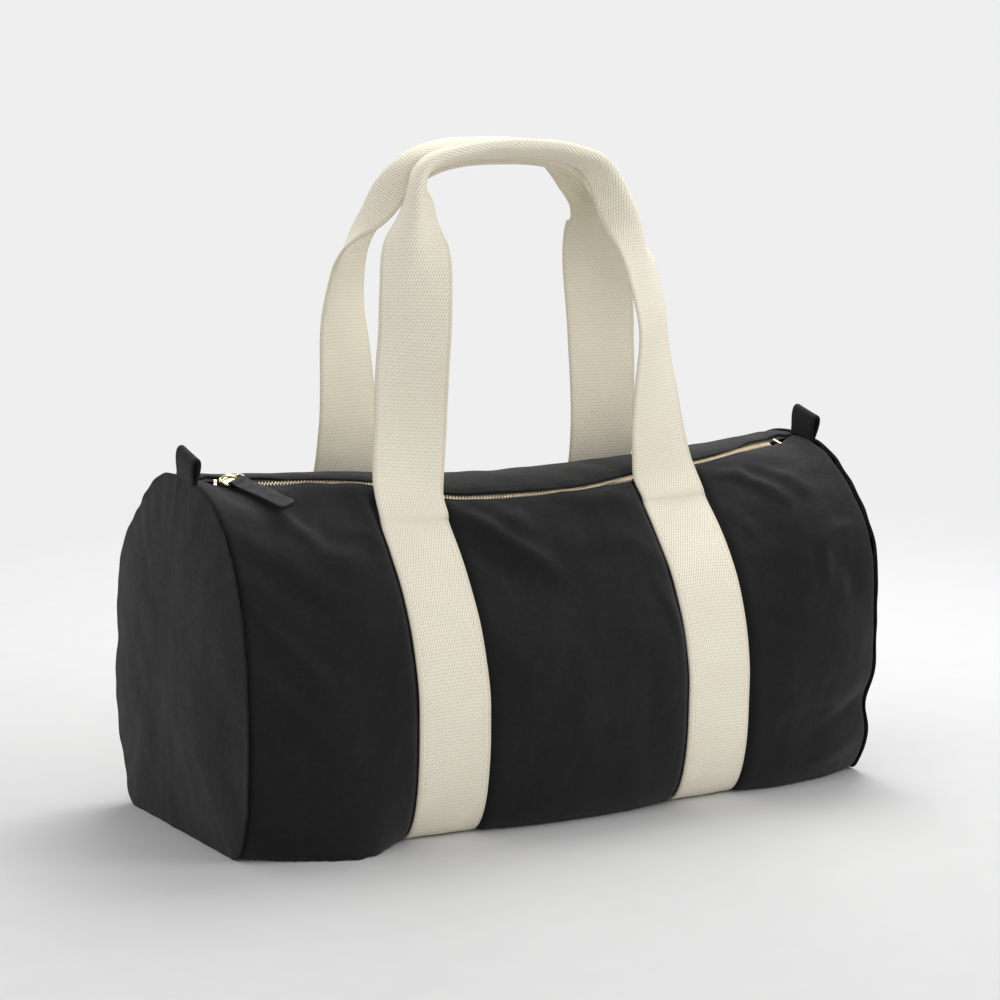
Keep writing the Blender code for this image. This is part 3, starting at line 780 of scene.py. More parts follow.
stations = barrel_stations()
loft, girth = barrel_grid()
loft_normals = unit(np.cross((-1.0, 0, 0), np.gradient(loft, axis=1)))
loft_normals = towards(loft_normals, loft - (0, 0, BELLY))
X = loft[:, :, 0]
pushed = barrel_shape(X, girth) - band_reach(X, girth, loft[:, :, 2]) * (WEBBING + GAP)
# the end seams, drawn in and puckered
a = HALF - np.abs(X)
pucker = 0.00045 * np.exp(-a / 0.006) * wave_noise(girth, X * 0 + np.sign(X), 0.017, 21)
pushed += pucker - 0.0026 * bell(a, 0, 0.0021) - 0.0009 * np.exp(-a / 0.007)
# the hems, with a stitched groove and a rounded edge
hem = np.minimum(girth - girth[:, :1], girth[:, -1:] - girth)
pushed += 0.00018 * bell(hem, 0.0058, 0.0022) - 0.0002 * bell(hem, 0.0028, 0.0007)
pushed -= 0.0011 * np.clip(1 - hem / 0.0010, 0, 1) ** 2
skin = loft + loft_normals * pushed[:, :, None]
floor_z = np.where(np.abs(girth) < 0.12, 0.0002, -1)
skin[:, :, 2] = np.maximum(skin[:, :, 2], floor_z)
skin_normals = normals_of(skin, loft_normals)
inner_skin = skin - skin_normals * CANVAS
inner_floor = np.where(np.abs(girth) < 0.07, CANVAS, -1)
inner_skin[:, :, 2] = np.maximum(inner_skin[:, :, 2], inner_floor)
rings = np.concatenate([skin, inner_skin[:, ::-1]], 1)
flat = np.dstack([X, girth])
flat = np.concatenate([flat, flat[:, ::-1]], 1)
barrel = tube("barrel_canvas", rings, [canvas], flat)
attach(barrel, "bag")
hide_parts("barrel_panel")


def skin_at(x, g, lift):
    """A point just above the canvas, at x and girth, and the normal there."""
    row = np.interp(x, stations, np.arange(len(stations)))
    low = min(int(row), len(stations) - 2)
    ends = []
    for station in (low, low + 1):
        column = np.interp(g, girth[station], np.arange(girth.shape[1]))
        c = min(int(column), girth.shape[1] - 2)
        ends.append([mix(*grid[station, c : c + 2], column - c) for grid in (skin, skin_normals)])
    point, normal = (mix(one, two, row - low) for one, two in zip(*ends))
    return point + unit(normal) * lift, unit(normal)


def inward_of(points, along):
    """Unit vectors in the section, from its line towards its middle."""
    along = unit(along)
    return towards(np.c_[-along[:, 1], along[:, 0]], END_MIDDLE - points)


# The end panels
def build_end(name, side, tab):
    """A domed disc whose rim turns in under the seam, one canvas thick."""
    points = outline(side * HALF)
    across_mouth = np.linspace(0, 1, 12)[1:-1, None]
    points = np.r_[points, mix(points[-1], points[0], across_mouth), points[:1]]
    rim, places = (part[:-1] for part in evenly(points, 281))
    inward = inward_of(rim, np.roll(rim, -1, 0) - np.roll(rim, 1, 0))
    depths = 0.0026, 0.0017, 0.0010, 0.0004, 0.0, 0.0002, 0.0010, 0.0022, 0.0040
    rings = [rim + inward * depth for depth in depths]
    outs = [0.0003, 0.0003, 0.0004, 0.0006, 0.0009, 0.0012, 0.0014, 0.0016, 0.0018]
    base = rings[-1]
    for share in np.r_[np.linspace(0.95, 0.06, 22), 0.015]:
        rings.append(END_MIDDLE + (base - END_MIDDLE) * share)
        outs.append(outs[8] + 0.0072 * (1 - share**2.0))
    rings, outs = np.array(rings), np.array(outs)
    y, z = rings[:, :, 0], rings[:, :, 1]
    order = np.arange(len(rings))[:, None]
    shape = outs[:, None] + np.zeros_like(y)
    deep = np.clip(order - 6, 0, 6) / 6.0
    for height, size, seed in ((0.0010, 0.110, 31), (0.00022, 0.036, 41), (0.00010, 0.016, 51)):
        shape += deep * height * wave_noise(y, z, size, seed + side)
    near = np.exp(-np.clip(order - 3, 0, 99) / 5.0) * (order > 2)
    shape += 0.0005 * near * wave_noise(places + 0 * y, 0 * y, 0.020, 61 + side)
    outer = np.dstack([side * (HALF + shape), y, np.maximum(z, 0.0003)])
    under = outer.copy()
    under[:, :, 0] -= side * CANVAS
    turned = slice(6)  # the rings of the turned-in rim
    under[turned, :, 0] = side * np.maximum(HALF + GAP, HALF + shape[turned] - CANVAS)
    under[turned, :, 1:] += inward * CANVAS
    rows = np.concatenate([outer[::-1], under])
    index = np.arange(rows[:, :, 0].size).reshape(rows.shape[:2])
    quads = quads_between(index[:-1], index[1:])
    faces = [*quads, index[0][::-1], index[-1]]
    points = rows.reshape(-1, 3)
    if inside_out(points, quads):
        faces = [face[::-1] for face in faces]
    panel = finish_mesh(name, points, faces, [end_canvas_painted_lighter], points[:, 1:])
    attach(panel, "bag")
    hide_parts(f"end_panel_{tab}")


build_end("left_end", -1, "left")
build_end("right_end", 1, "right")


# The webbing: one long loop, made as a front and a back strip that meet under the bottom
STRIP = WEBBING - 0.0002
EDGE = WEB_WIDTH / 2 - STRIP / 2
LATERAL = np.linspace(-EDGE, EDGE, 33)
LATERAL = mix(LATERAL, EDGE * np.sin(LATERAL / EDGE * math.pi / 2), 0.15)
MID = len(LATERAL) // 2
BAND_ROWS, LOOP_ROWS, STRIP_ROWS = 92, 320, 560

# One leg of each handle, from its foot to the middle of the grip: how far out, y and z
# in mm, its turn in quarters, how far it is folded lengthwise in degrees, and how soft
# that fold is in mm
FRONT_LEG = (
    (100.4, -57.41, 197.86, 0, 0, 25), (99.9, -50, 206.8, 0.01, 0, 25),
    (99.2, -44, 213, 0.02, 0, 25), (98.2, -39.6, 219.2, 0.04, 0, 25),
    (97.2, -36.8, 227, 0.07, 0, 25), (96.2, -35.2, 236, 0.1, 0, 25),
    (95.2, -34.3, 246, 0.13, 0, 25), (94.4, -34, 257, 0.17, 0, 22),
    (93.8, -33.8, 270, 0.22, 0, 22), (93.2, -33.8, 285, 0.3, 2, 20),
    (92.7, -33.6, 300, 0.36, 3, 18), (91.8, -33, 315, 0.39, 4, 14),
    (90.6, -31.2, 330, 0.38, 6, 10), (89, -29, 345, 0.37, 9, 8),
    (87.6, -26.4, 360, 0.36, 14, 6), (86.6, -23.8, 375, 0.35, 31, 4.8),
    (84.5, -21.8, 388, 0.34, 55, 4.2), (81.2, -20.4, 398.5, 0.33, 70, 4),
    (78.4, -19.6, 409, 0.32, 80, 3.6), (74.2, -19, 418, 0.27, 84, 3.4),
    (68, -18.8, 425, 0.2, 85, 3.3), (59, -19.2, 429.5, 0.13, 85, 3.3),
    (45, -20, 433.2, 0.11, 85, 3.3), (26, -20.8, 436.6, 0.13, 85, 3.4),
    (0, -21.2, 438, 0.15, 85, 3.4),
)
BACK_LEG = (
    (100.5, 54.5, 201, 0, 0, 25), (100.4, 50, 210, 0.02, 0, 25),
    (100.3, 46.5, 220, 0.04, 0, 25), (100.1, 44, 232, 0.07, 0, 25),
    (99.9, 43, 245, 0.09, 0, 25), (99.8, 43, 258, 0.12, 0, 22),
    (99.8, 43.7, 272, 0.15, 0, 20), (100, 45, 286, 0.18, 1, 20),
    (100.2, 46.6, 300, 0.21, 2, 18), (100.6, 48.2, 315, 0.26, 3, 14),
    (100.4, 49.8, 330, 0.32, 5, 10), (99.4, 50.6, 345, 0.38, 8, 8),
    (98.2, 49.8, 360, 0.42, 11, 6), (96.8, 46, 374, 0.46, 18, 5),
    (94.6, 40, 387, 0.52, 34, 4.5), (90.5, 33.2, 398, 0.61, 55, 4.5),
    (85.8, 27.3, 408.5, 0.74, 70, 5), (79.5, 23, 417.8, 0.88, 73, 6.5),
    (71.5, 20.5, 425.5, 1, 70, 9.5), (59.5, 20, 432.2, 1.09, 60, 13),
    (44, 20.6, 436.8, 1.15, 52, 18), (24, 21, 439.4, 1.18, 48, 23),
    (0, 21.2, 439.8, 1.18, 46, 25),
)
# y and z of the lines about which the handles turn
HINGES = {-1: (-0.05741, 0.19786), 1: (0.05824, 0.20095)}


def band_rows(centre, side):
    """Rows of points on the bag, from the middle of the bottom up to the band's top."""
    rows = []
    for x in centre + LATERAL:
        points, lengths, bottom = section(x)
        wall = lengths > bottom if side < 0 else lengths < bottom
        high = lengths[wall & (points[:, 1] >= BAND_TOP)]
        end = min(high[0], lengths[-1] - UNDER - 0.0060) if side < 0 else high[-1]
        row = at_lengths(points, lengths, np.linspace(bottom, end, BAND_ROWS))
        rows.append(np.c_[np.full(BAND_ROWS, x), row])
    return np.array(rows).transpose(1, 0, 2)


def handle_rows(side):
    """The free loop, row by row from the right foot to the left one."""
    leg = np.array(FRONT_LEG if side < 0 else BACK_LEG) / (MM, MM, MM, 1, 1, MM)
    line = catmull(np.r_[leg, leg[-2::-1] * (-1, 1, 1, 1, 1, 1)], LOOP_ROWS)
    turns, folds, softs = line[:, 3], np.radians(np.clip(line[:, 4], 0, 88)), line[:, 5]
    points = blur(line[:, :3], 3)
    x, y, z = points.T
    # both arches lean a little to the left at their tops
    x -= 0.0050 * onset(z, 0.385, 0.04)
    if side < 0:
        x += 0.0016 * onset(z, 0.28, 0.05)
        y += np.where(x > 0, 0.0070, 0.0030) * bell(z, 0.205, 0.018)
    # the free webbing is pulled a little narrower than it lies on the bag
    drawn = 1 - 0.050 * onset(z, 0.2150, 0.06)
    along = unit(np.gradient(points, axis=0))
    along[0], along[-1] = (0, 0, 1), (0, 0, -1)
    lateral = unit(np.cross((0, side, 0.0), along))
    share = np.linspace(-1, 1, 201) * WEB_WIDTH / 2
    rows = []
    for k in range(LOOP_ROWS):
        turn = Matrix.Rotation(-side * turns[k] * math.pi / 2, 3, Vector(along[k]))
        across = np.array(turn @ Vector(lateral[k]))
        # folded lengthwise: the section is turned back on both sides of its middle
        bend = np.tanh(share / softs[k]) / math.tanh(share[-1] / softs[k]) * folds[k]
        section_at = []
        for part in (np.cos(bend), np.sin(bend)):
            run = np.r_[0, np.cumsum((part[1:] + part[:-1]) / 2 * np.diff(share))]
            section_at.append(np.interp(LATERAL, share, run - run[len(run) // 2]))
        sideways = np.outer(section_at[0] * drawn[k], across)
        rows.append(points[k] + sideways - np.outer(section_at[1], np.cross(along[k], across)))
    return np.array(rows)


def build_strip(name, side, nodes):
    free = handle_rows(side)
    legs = []
    for centre, foot in ((BAND, free[0]), (-BAND, free[-1])):
        rows = band_rows(centre, side)
        rows = rows - normals_of(rows, (0, side, 0)) * (WEBBING / 2)
        turned = np.dot(foot[-1] - foot[0], rows[-1, -1] - rows[-1, 0]) < 0
        legs.append(rows[:, ::-1] if turned else rows)
    mids = np.concatenate([legs[0], free[2:-2], legs[1][::-1]])
    # even spacing, then a soft bend where the strip leaves the bag
    middle = lengths_of(mids[:, MID])
    places = np.linspace(0, middle[-1], STRIP_ROWS)
    mids = np.stack([at_lengths(line, middle, places) for line in mids.transpose(1, 0, 2)], 1)
    hinge_y, hinge_z = HINGES[side]
    soft = bell(mids[:, MID, 2], hinge_z, 0.016)[:, None, None]
    mids = mix(mids, blur(mids, 14), soft)
    normals = normals_of(mids, (0, side, 0))
    uneven = 0.00018 * wave_noise(places[:, None], LATERAL[None, :], 0.030, 71 + side)
    mids = mids + normals * uneven[:, :, None]
    looks = [webbing, webbing_inner]
    made = ribbon(name, mids, normals, STRIP, looks, places, LATERAL, inner=1)
    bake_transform(made)
    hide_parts(*nodes)
    return mids, normals


front_nodes = ["handle_front", "webbing_band_left"]
back_nodes = ["handle_back", "webbing_band_right"]
front_strip = build_strip("webbing_front", -1, front_nodes)
back_strip = build_strip("webbing_back", 1, back_nodes)


# The zip
def build_tape(word, side):
    """One tape: the part that shows in the mouth, and the part under the hem."""
    xs = np.linspace(-0.2352, 0.2352, 170)
    reaches = np.array((0.35, 0.50, 0.65, 0.80, 0.95))
    steps = np.array((0.0015, 0.0040, 0.0070, 0.0100))
    shown = [zip_edge(xs, side * reach * mouth(xs), 0.0) for reach in reaches]
    under = []
    for x in xs:
        points, lengths, _ = section(x)
        places = lengths[-1] - steps if side < 0 else steps
        row = at_lengths(points, lengths, places)
        run = unit(at_lengths(points, lengths, places + side * 0.0005) - row)
        normal = np.c_[-run[:, 1], run[:, 0]]
        normal = np.where(normal[:, 1:] < 0, -normal, normal)
        row = row - normal * (CANVAS + GAP + TAPE / 2 + 0.0001)
        under.append(np.c_[np.full(len(steps), x), row])
    grid = np.concatenate([shown, np.array(under).transpose(1, 0, 2)]).transpose(1, 0, 2)
    normals = normals_of(grid, (0, 0, 1))
    lateral = np.r_[reaches * 0.0040, 0.0040 + steps]
    made = ribbon(f"zip_cloth_{word}", grid, normals, TAPE, [zip_cloth], xs, lateral)
    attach(made, "bag")
    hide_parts(f"zip_tape_{word}")


# A tooth in mm, as (reach, half its width, half its height): a rounded head that hooks
# past the middle, a waist, and two legs clamped on the tape
TOOTH = (
    (-0.5, 0.28, 0.70), (-0.2, 0.40, 0.98), (0.4, 0.42, 1.10), (0.9, 0.32, 1.04),
    (1.5, 0.34, 1.10), (2.1, 0.34, 1.02), (2.5, 0.24, 0.64),
)
OCTAGON = (
    (-1, -0.55), (-1, 0.55), (-0.55, 1), (0.55, 1),
    (1, 0.55), (1, -0.55), (0.55, -1), (-0.55, -1),
)
PITCH = 0.00212


def build_teeth(word, side):
    rings = np.array(TOOTH) / MM
    tooth = np.array([
        (dx * half, side * reach, dz * height)
        for reach, half, height in rings for dx, dz in OCTAGON
    ])
    faces = []
    for base in range(0, len(tooth) - 8, 8):
        for k in range(8):
            after = (k + 1) % 8
            faces.append([base + k, base + after, base + 8 + after, base + 8 + k])
    faces += [list(range(8))[::-1], list(range(len(tooth) - 8, len(tooth)))]
    if side > 0:
        faces = [face[::-1] for face in faces]
    teeth = []
    for k in range(int(2 * TEETH_RUN / PITCH)):
        angle = (-TEETH_RUN + (k + 0.5 + 0.25 * side) * PITCH) / ZIP_R
        teeth.append((zip_point(angle) + tooth @ zip_axes(angle), faces))
    made = join(f"zip_teeth_row_{word}", teeth, teeth_brass)
    made.data.shade_flat()
    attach(made, "bag")
    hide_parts(f"zip_teeth_{word}")


for word, side in SIDES:
    build_tape(word, side)
for word, side in SIDES:
    build_teeth(word, side)

slider_place = zip_frame(-TEETH_RUN + 0.0130 / 2 - 0.0026)


def prism(shape, ring, low, high):
    """Adds a plate between two heights to a bmesh."""
    base, top = ([shape.verts.new((x, y, z)) for x, y in ring] for z in (low, high))
    shape.faces.new(base[::-1])
    shape.faces.new(top)
    for k in range(len(ring)):
        after = (k + 1) % len(ring)
        shape.faces.new((base[k], base[after], top[after], top[k]))


def build_slider():
    """Two plates with rims along their sides: wide and rounded at the nose, where the
    teeth come apart, and narrower at the tail."""
    half = (
        (-6.5, 1.8), (-5.8, 3.4), (-4.3, 5), (-2.2, 5.5),
        (0.8, 5), (3.4, 4.1), (5.5, 3.9), (6.5, 3.2),
    )
    half = np.array(half) / MM * (1, 0.90)
    inner, thick, rim_width, rim_start = 0.0018, 0.0013, 0.0009, 0.0007
    shape = bmesh.new()
    ring = np.r_[half, half[::-1] * (1, -1)]
    prism(shape, ring, inner, inner + thick)
    prism(shape, ring, -inner - thick, -inner)
    for side in (-1, 1):
        rim = np.r_[half[1:-1], half[-2:0:-1] - (0, rim_width)] * (1, side)
        prism(shape, rim, rim_start, inner + thick / 2)
        prism(shape, rim, -inner - thick / 2, -rim_start)
    bmesh.ops.recalc_face_normals(shape, faces=shape.faces)
    mesh = bpy.data.meshes.new("slider_body")
    shape.to_mesh(mesh)
    shape.free()
    mesh.materials.append(brass)
    mesh.transform(slider_place)
    slider = put_in_scene("slider_body", mesh)
    bevel = slider.modifiers.new("Edges", "BEVEL")
    bevel.width = 0.0004
    bevel.segments = 2
    bevel.limit_method = "ANGLE"
    bevel.angle_limit = math.radians(35)
    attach(slider, "slider")
    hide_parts("zip_slider")


def build_bridge():
    """A flat strap that rises from the slider's nose, runs over the ring's bar and
    comes down behind it."""
    line = (
        (-5.2, 2.6), (-5, 4.2), (-4.2, 5.8), (-2.6, 6.8), (0, 7.2),
        (2.4, 6.9), (3.8, 6), (4.5, 4.6), (4.7, 2.6),
    )
    count, width, thick = 33, 0.0022, 0.0009
    rows = sweep(catmull(np.array(line) / MM, count), np.linspace(-width / 2, width / 2, 5))
    normals = normals_of(rows, (0, 0, 1))
    places, lateral = np.linspace(0, 1, count), np.linspace(-1, 1, 5)
    bridge = ribbon("slider_bridge", rows, normals, thick, [brass], places, lateral)
    bridge.data.transform(slider_place)
    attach(bridge, "slider")


WIRE = 0.0007
RING_HALF, RING_DEPTH, RING_CORNER = 0.0176 / 2, 0.0064, 0.0020
PULL_WIDTH, PULL_LENGTH, PULL_LAYER = 0.0140, 0.0430, 0.00135
ring_lift = Matrix.Translation((0, 0, 0.0018 + 0.0014 + 0.0018 + WIRE))
ring_place = slider_place @ ring_lift @ Matrix.Rotation(-math.radians(48), 4, "Z")


def build_ring():
    """A round wire bent to a rectangle with rounded corners."""
    near, far, wide = RING_CORNER, RING_DEPTH - RING_CORNER, RING_HALF - RING_CORNER
    quarter = math.pi / 2
    centres = (near, wide, quarter), (far, wide, 0), (far, -wide, -quarter), (near, -wide, -math.pi)
    points = []
    for x, y, start in centres:
        for step in range(7):
            turn = start + quarter - step / 6 * quarter
            reach = RING_CORNER * math.cos(turn), RING_CORNER * math.sin(turn)
            points.append(np.array((x + reach[0], y + reach[1], 0)))
    dense = []
    for point, after in zip(points, points[1:] + points[:1]):
        steps = max(1, int(math.dist(point, after) / 0.0012))
        dense += [mix(point, after, step / steps) for step in range(steps)]
    dense = np.array(dense)
    loop = np.r_[dense[-3:], dense, dense[:3]]
    along = unit(np.gradient(loop, axis=0))[3:-3]
    across = unit(np.cross(along, (0, 0, 1.0)))
    turns = (np.arange(12) * 2 * math.pi / 12)[:, None]
    lift = np.cross(across, along)[:, None] * np.sin(turns)
    rings = dense[:, None] + WIRE * (across[:, None] * np.cos(turns) + lift)
    ring = tube("pull_wire", rings, [brass], closed=True)
    ring.data.transform(ring_place)
    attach(ring, "pull_ring")
    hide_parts("zip_pull_ring")


def build_puller():
    """One strip folded round the ring's bar, its two layers lying together."""
    mid = WIRE + GAP + PULL_LAYER / 2
    upper = [
        (PULL_LENGTH, 0.00072), (PULL_LENGTH * 0.75, 0.00074), (0.0110, 0.00078),
        (0.0055, 0.0009), (0.0032, 0.0012), (0.0016, mid * 0.98),
    ]
    turns = np.linspace(math.pi * 0.45, math.pi * 1.55, 11)
    around = [(mid * math.cos(t), mid * math.sin(t)) for t in turns]
    count, end_rows, corner = 150, 30, 0.0032
    path = catmull(upper + around + [(x, -z) for x, z in upper[::-1]], count)
    path, places = evenly(path, count)
    half = PULL_WIDTH / 2 - PULL_LAYER / 2
    across = np.linspace(-half, half, 11)
    rows = sweep(path, across)
    layers = rows * (0, 0, 1)
    # rounded corners at the free end
    for row in (*range(end_rows), *range(count - end_rows, count)):
        ahead = PULL_LENGTH - rows[row, 0, 0]
        if ahead < corner:
            reach = math.sqrt(max(corner**2 - (corner - ahead) ** 2, 0))
            rows[row, :, 1] = across * ((half - corner + reach) / half)
    rows[:, :, 2] += 0.00022 * wave_noise(rows[:, :, 0], rows[:, :, 1], 0.022, 81)
    rows[:, :, 2] -= 0.0012 * np.clip(rows[:, :, 0] / PULL_LENGTH, 0, 1) ** 2
    normals = normals_of(rows, layers)
    made = ribbon("pull_strip", rows, normals, PULL_LAYER, [strip], places, across)
    turn, droop = (math.radians(angle) for angle in (5, -8))
    made.data.transform(
        ring_place @ Matrix.Translation((RING_DEPTH, 0, 0))
        @ Matrix.Rotation(turn, 4, "Z") @ Matrix.Rotation(droop, 4, "Y")
    )
    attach(made, "puller")
    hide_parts("zip_puller")


def stitch_shape(length, width, height):
    """One stitch lying along X on the plane, as points and faces: a plump thread that
    dips in at both ends."""
    sides = 6
    half = (-0.5, 0.35, -0.9), (-0.42, 0.8, -0.35), (-0.2, 1, 0)
    points, faces = [], []
    for at, size, drop in (*half, *((-at, size, drop) for at, size, drop in half[::-1])):
        for k in range(sides):
            turn = k / sides * 2 * math.pi
            out, up = size * math.cos(turn), size * math.sin(turn) + drop
            points.append((at * length, width / 2 * out, height / 2 * up))
    last = len(points) - sides
    for base in range(0, last, sides):
        for k in range(sides):
            after = (k + 1) % sides
            faces.append([base + k, base + sides + k, base + sides + after, base + after])
    faces += [list(range(sides)), list(range(last, len(points)))[::-1]]
    return np.array(points), faces


def stitches(name, lines, look, body, length, gap, width, height):
    """Rows of stitches along lines of (points, normals)."""
    shape, faces = stitch_shape(length, width, height)
    made = []
    for points, normals in lines:
        lengths = lengths_of(points)
        count = int(lengths[-1] / (length + gap))
        centres = (np.arange(count) + 0.5) * lengths[-1] / count
        places = at_lengths(points, lengths, centres)
        ups = unit(at_lengths(normals, lengths, centres))
        ahead = at_lengths(points, lengths, np.minimum(centres + 0.0008, lengths[-1]))
        behind = at_lengths(points, lengths, np.maximum(centres - 0.0008, 0))
        along = unit(ahead - behind)
        side = unit(np.cross(ups, along))
        turns = np.stack([along, side, np.cross(along, side)], 1)
        made += [(place + shape @ turn, faces) for place, turn in zip(places, turns)]
    piece = join(name, made, look)
    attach(piece, body)
    return piece


def build_band_stitches():
    """Two rows of stitching hold each band to the canvas, close to its selvedges."""
    for word, (mids, normals) in (("front", front_strip), ("back", back_strip)):
        lines = []
        for column in (3, len(LATERAL) - 4):
            z = mids[:, column, 2]
            ends = np.where(np.diff(((z > 0.0040) & (z < 0.186)).astype(int)))[0]
            for rows in (slice(ends[0] + 1, ends[1]), slice(ends[2] + 1, ends[3])):
                up = normals[rows, column]
                lines.append((mids[rows, column] + up * (STRIP / 2 + 0.00003), up))
        sizes = 0.0026, 0.0008, 0.00062, 0.00026
        piece = stitches(f"band_stitching_{word}", lines, natural_thread, "bag", *sizes)


def build_hem_stitches():
    lines = []
    from_edge = 0.0028
    for column, inward in ((-1, -from_edge), (0, from_edge)):
        line = []
        for x in np.linspace(-0.2300, 0.2300, 240):
            station = int(round(np.interp(x, stations, np.arange(len(stations)))))
            line.append(skin_at(x, girth[station, column] + inward, 0.00008))
        points, normals = np.array(line).transpose(1, 0, 2)
        lines.append((blur(points, 3), normals))
    sizes = 0.0024, 0.0007, 0.00055, 0.00036
    piece = stitches("hem_stitching", lines, black_thread, "bag", *sizes)


# The end tabs
def build_tab(word, side):
    """A closed loop of canvas on the end seam, pinched at its foot, with stitched edges."""
    pivot = Vector((side * 0.23805, -0.0055, 0.23309))
    place = Matrix.Translation(pivot) @ Matrix.Rotation(math.radians(15), 4, "X")
    height, below, wide, thick, count = 0.0190, 0.0040, 0.0130, 0.0016, 72
    rows = []
    for step in range(count):
        turn = 2 * math.pi * (step + 0.5) / count
        z = height * (1 - math.cos(turn)) / 2
        reach = 0.0036 * abs(math.sin(turn)) ** 0.8 * mix(0.25, 1, z / height)
        if z < height / 2:
            reach = max(reach, (thick + GAP) / 2)
        rows.append((math.copysign(reach, math.sin(turn)), z - below))
    rows, places = evenly(np.array(rows + rows[:1]), count + 1)
    rows, places = rows[:-1], np.linspace(0, places[-1], count)
    for _ in range(2):
        rows = (np.roll(rows, 1, 0) + 2 * rows + np.roll(rows, -1, 0)) / 4
    across = np.linspace(thick / 2 - wide, wide - thick / 2, 13)
    grid = sweep(rows, across)
    loop = np.concatenate([grid[-2:], grid, grid[:2]])
    normals = normals_of(loop, (loop - (0, 0, height / 2)) * (1, 0, 1))[2:-2]
    made = ribbon(f"tab_{word}", grid, normals, thick, [canvas], places, across, closed=True)
    made.data.transform(place)
    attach(made, f"{word}_tab")
    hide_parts(f"end_tab_{word}")
    turn, shift = np.array(place)[:3, :3].T, np.array(place)[:3, 3]
    lines = []
    for column in (1, 11):
        for part in (slice(8, count // 2 + 1), slice(count // 2, count - 8)):
            up = normals[part, column]
            points = grid[part, column] + up * (thick / 2 + 0.00006)
            lines.append((points @ turn + shift, up @ turn))
    sizes = 0.0020, 0.0007, 0.0005, 0.00034
    name = f"tab_stitching_{word}"
    piece = stitches(name, lines, black_thread, f"{word}_tab", *sizes)


# The binding inside the end seams
def build_binding(word, side):
    rows, count = [], 200
    for x in (HALF - 0.0100, HALF - 0.0060, HALF - 0.0020):
        row = evenly(outline(side * x), count)[0]
        inward = inward_of(row, np.gradient(row, axis=0))
        row = row + inward * (CANVAS + 2 * GAP + TAPE + 0.0005)
        row[:, 1] = np.maximum(row[:, 1], CANVAS + 0.0007)
        rows.append(np.c_[np.full(count, side * x), row])
    grid = np.array(rows).transpose(1, 0, 2)
    places, lateral = np.linspace(0, 0.7, count), np.array((-0.004, 0, 0.004))
    name = f"binding_{word}"
    normals = normals_of(grid, (0, 0, 0))
    made = ribbon(name, grid, normals, 0.0010, [zip_cloth], places, lateral)
    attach(made, "bag")
    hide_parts(f"seam_binding_{word}")


build_slider()
build_bridge()
build_ring()
build_puller()
build_band_stitches()
build_hem_stitches()
for word, side in (("left", -1), ("right", 1)):
    build_tab(word, side)
for word, side in (("left", -1), ("right", 1)):
    build_binding(word, side)

for node in ("zip_top_stop_front", "zip_top_stop_back", "zip_bottom_stop"):
    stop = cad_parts[node]
    stop.data.materials.clear()
    stop.data.materials.append(teeth_brass)


# Floor, light and camera
def build_floor():
    """A pale floor that fades into the backdrop."""
    g = Graph("floor")
    place = g.node("ShaderNodeTexCoord", out="Object")
    squares = (g.math("POWER", part, 2.0) for part in g.split(place))
    away = g.math("SQRT", g.plus(*squares))
    grain = g.range(g.noise(place, 30.0, 2), 0.3, 0.7)
    low, high = 0.662, 0.672
    colour = g.blend(grain, (low, low, low), (high, high, high))
    g.done(colour, 0.9, Specular_IOR_Level=0.1)
    fade_start, fade_end, radius = 0.40, 1.7, 2.4
    clear = g.node("ShaderNodeBsdfTransparent")
    parts = {0: g.range(away, fade_start, fade_end), 1: g.shader.outputs[0], 2: clear}
    mixed = g.node("ShaderNodeMixShader", parts)
    g.put(g.tree.nodes["Material Output"].inputs[0], mixed)
    shape = bmesh.new()
    bmesh.ops.create_circle(shape, cap_ends=True, segments=96, radius=radius)
    mesh = bpy.data.meshes.new("floor")
    shape.to_mesh(mesh)
    shape.free()
    mesh.materials.append(g.look)
    floor = put_in_scene("floor", mesh)


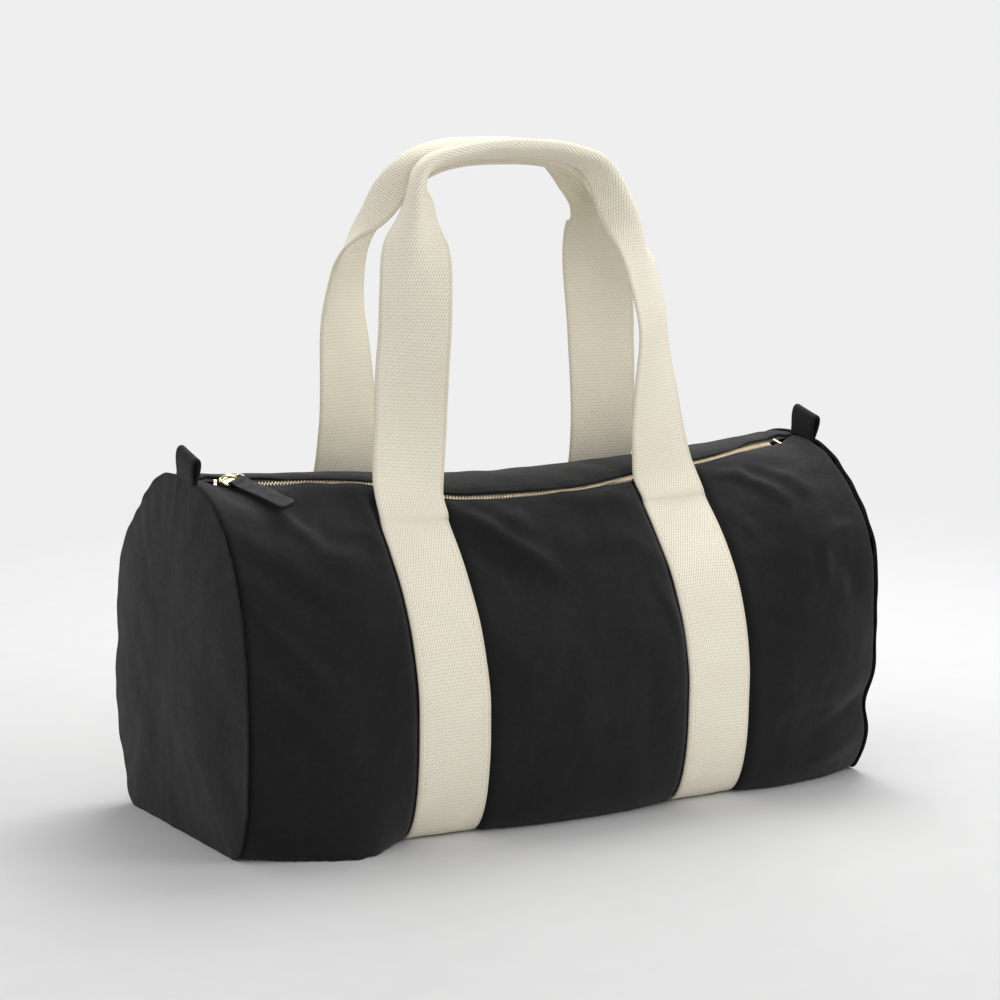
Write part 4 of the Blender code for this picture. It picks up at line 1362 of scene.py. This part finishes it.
def build_world():
    """A plain light, and a pale backdrop for the camera and for reflections."""
    pale, strength = 0.863, 0.72
    world = bpy.context.scene.world or bpy.data.worlds.new("World")
    bpy.context.scene.world = world
    world.use_nodes = True
    tree = world.node_tree
    tree.nodes.clear()
    kinds = "OutputWorld", "MixShader", "Background", "Background", "LightPath", "Math"
    out, mixed, seen, light, path, either = (tree.nodes.new(f"ShaderNode{kind}") for kind in kinds)
    seen.inputs[0].default_value = (pale, pale, pale, 1)
    light.inputs[0].default_value = (1, 1, 1, 1)
    light.inputs[1].default_value = strength
    either.operation = "MAXIMUM"
    for source, target in (
        (path.outputs["Is Camera Ray"], either.inputs[0]),
        (path.outputs["Is Glossy Ray"], either.inputs[1]),
        (either.outputs[0], mixed.inputs[0]), (light.outputs[0], mixed.inputs[1]),
        (seen.outputs[0], mixed.inputs[2]), (mixed.outputs[0], out.inputs[0]),
    ):
        tree.links.new(source, target)


def area(name, place, target, size, power):
    lamp = bpy.data.lights.new(name, "AREA")
    lamp.shape = "RECTANGLE"
    lamp.size, lamp.size_y = size
    lamp.energy = power
    made = put_in_scene(name, lamp)
    made.location = place
    aim = Vector(target) - Vector(place)
    made.rotation_euler = aim.to_track_quat("-Z", "Y").to_euler()


build_floor()
build_world()
area("top_light", (0.60, 0.68, 1.60), (0, 0, 0.1), (1.1, 1.0), 22)
area("right_light", (1.5, -1.5, 1.1), (0.1, 0, 0.25), (1.0, 1.0), 12)
area("left_light", (-2.2, -0.3, 1.1), (0, 0, 0.2), (1.2, 1.4), 2)

azimuth, elevation = math.radians(30.06), math.radians(8.21)
level, down = math.cos(elevation), math.sin(elevation)
forward = Vector((math.sin(azimuth) * level, math.cos(azimuth) * level, -down))
right = Vector((math.cos(azimuth), -math.sin(azimuth), 0))
camera = bpy.data.cameras.new("camera")
camera.sensor_width = 36
camera.lens = 100.99
viewer = put_in_scene("camera", camera)
place = Matrix((right, right.cross(forward), -forward)).transposed().to_4x4()
place.translation = (-0.94120, -1.61221, 0.46887)
viewer.matrix_world = place
bpy.context.scene.camera = viewer
bpy.context.scene.view_settings.view_transform = "Standard"

bpy.context.view_layer.update()
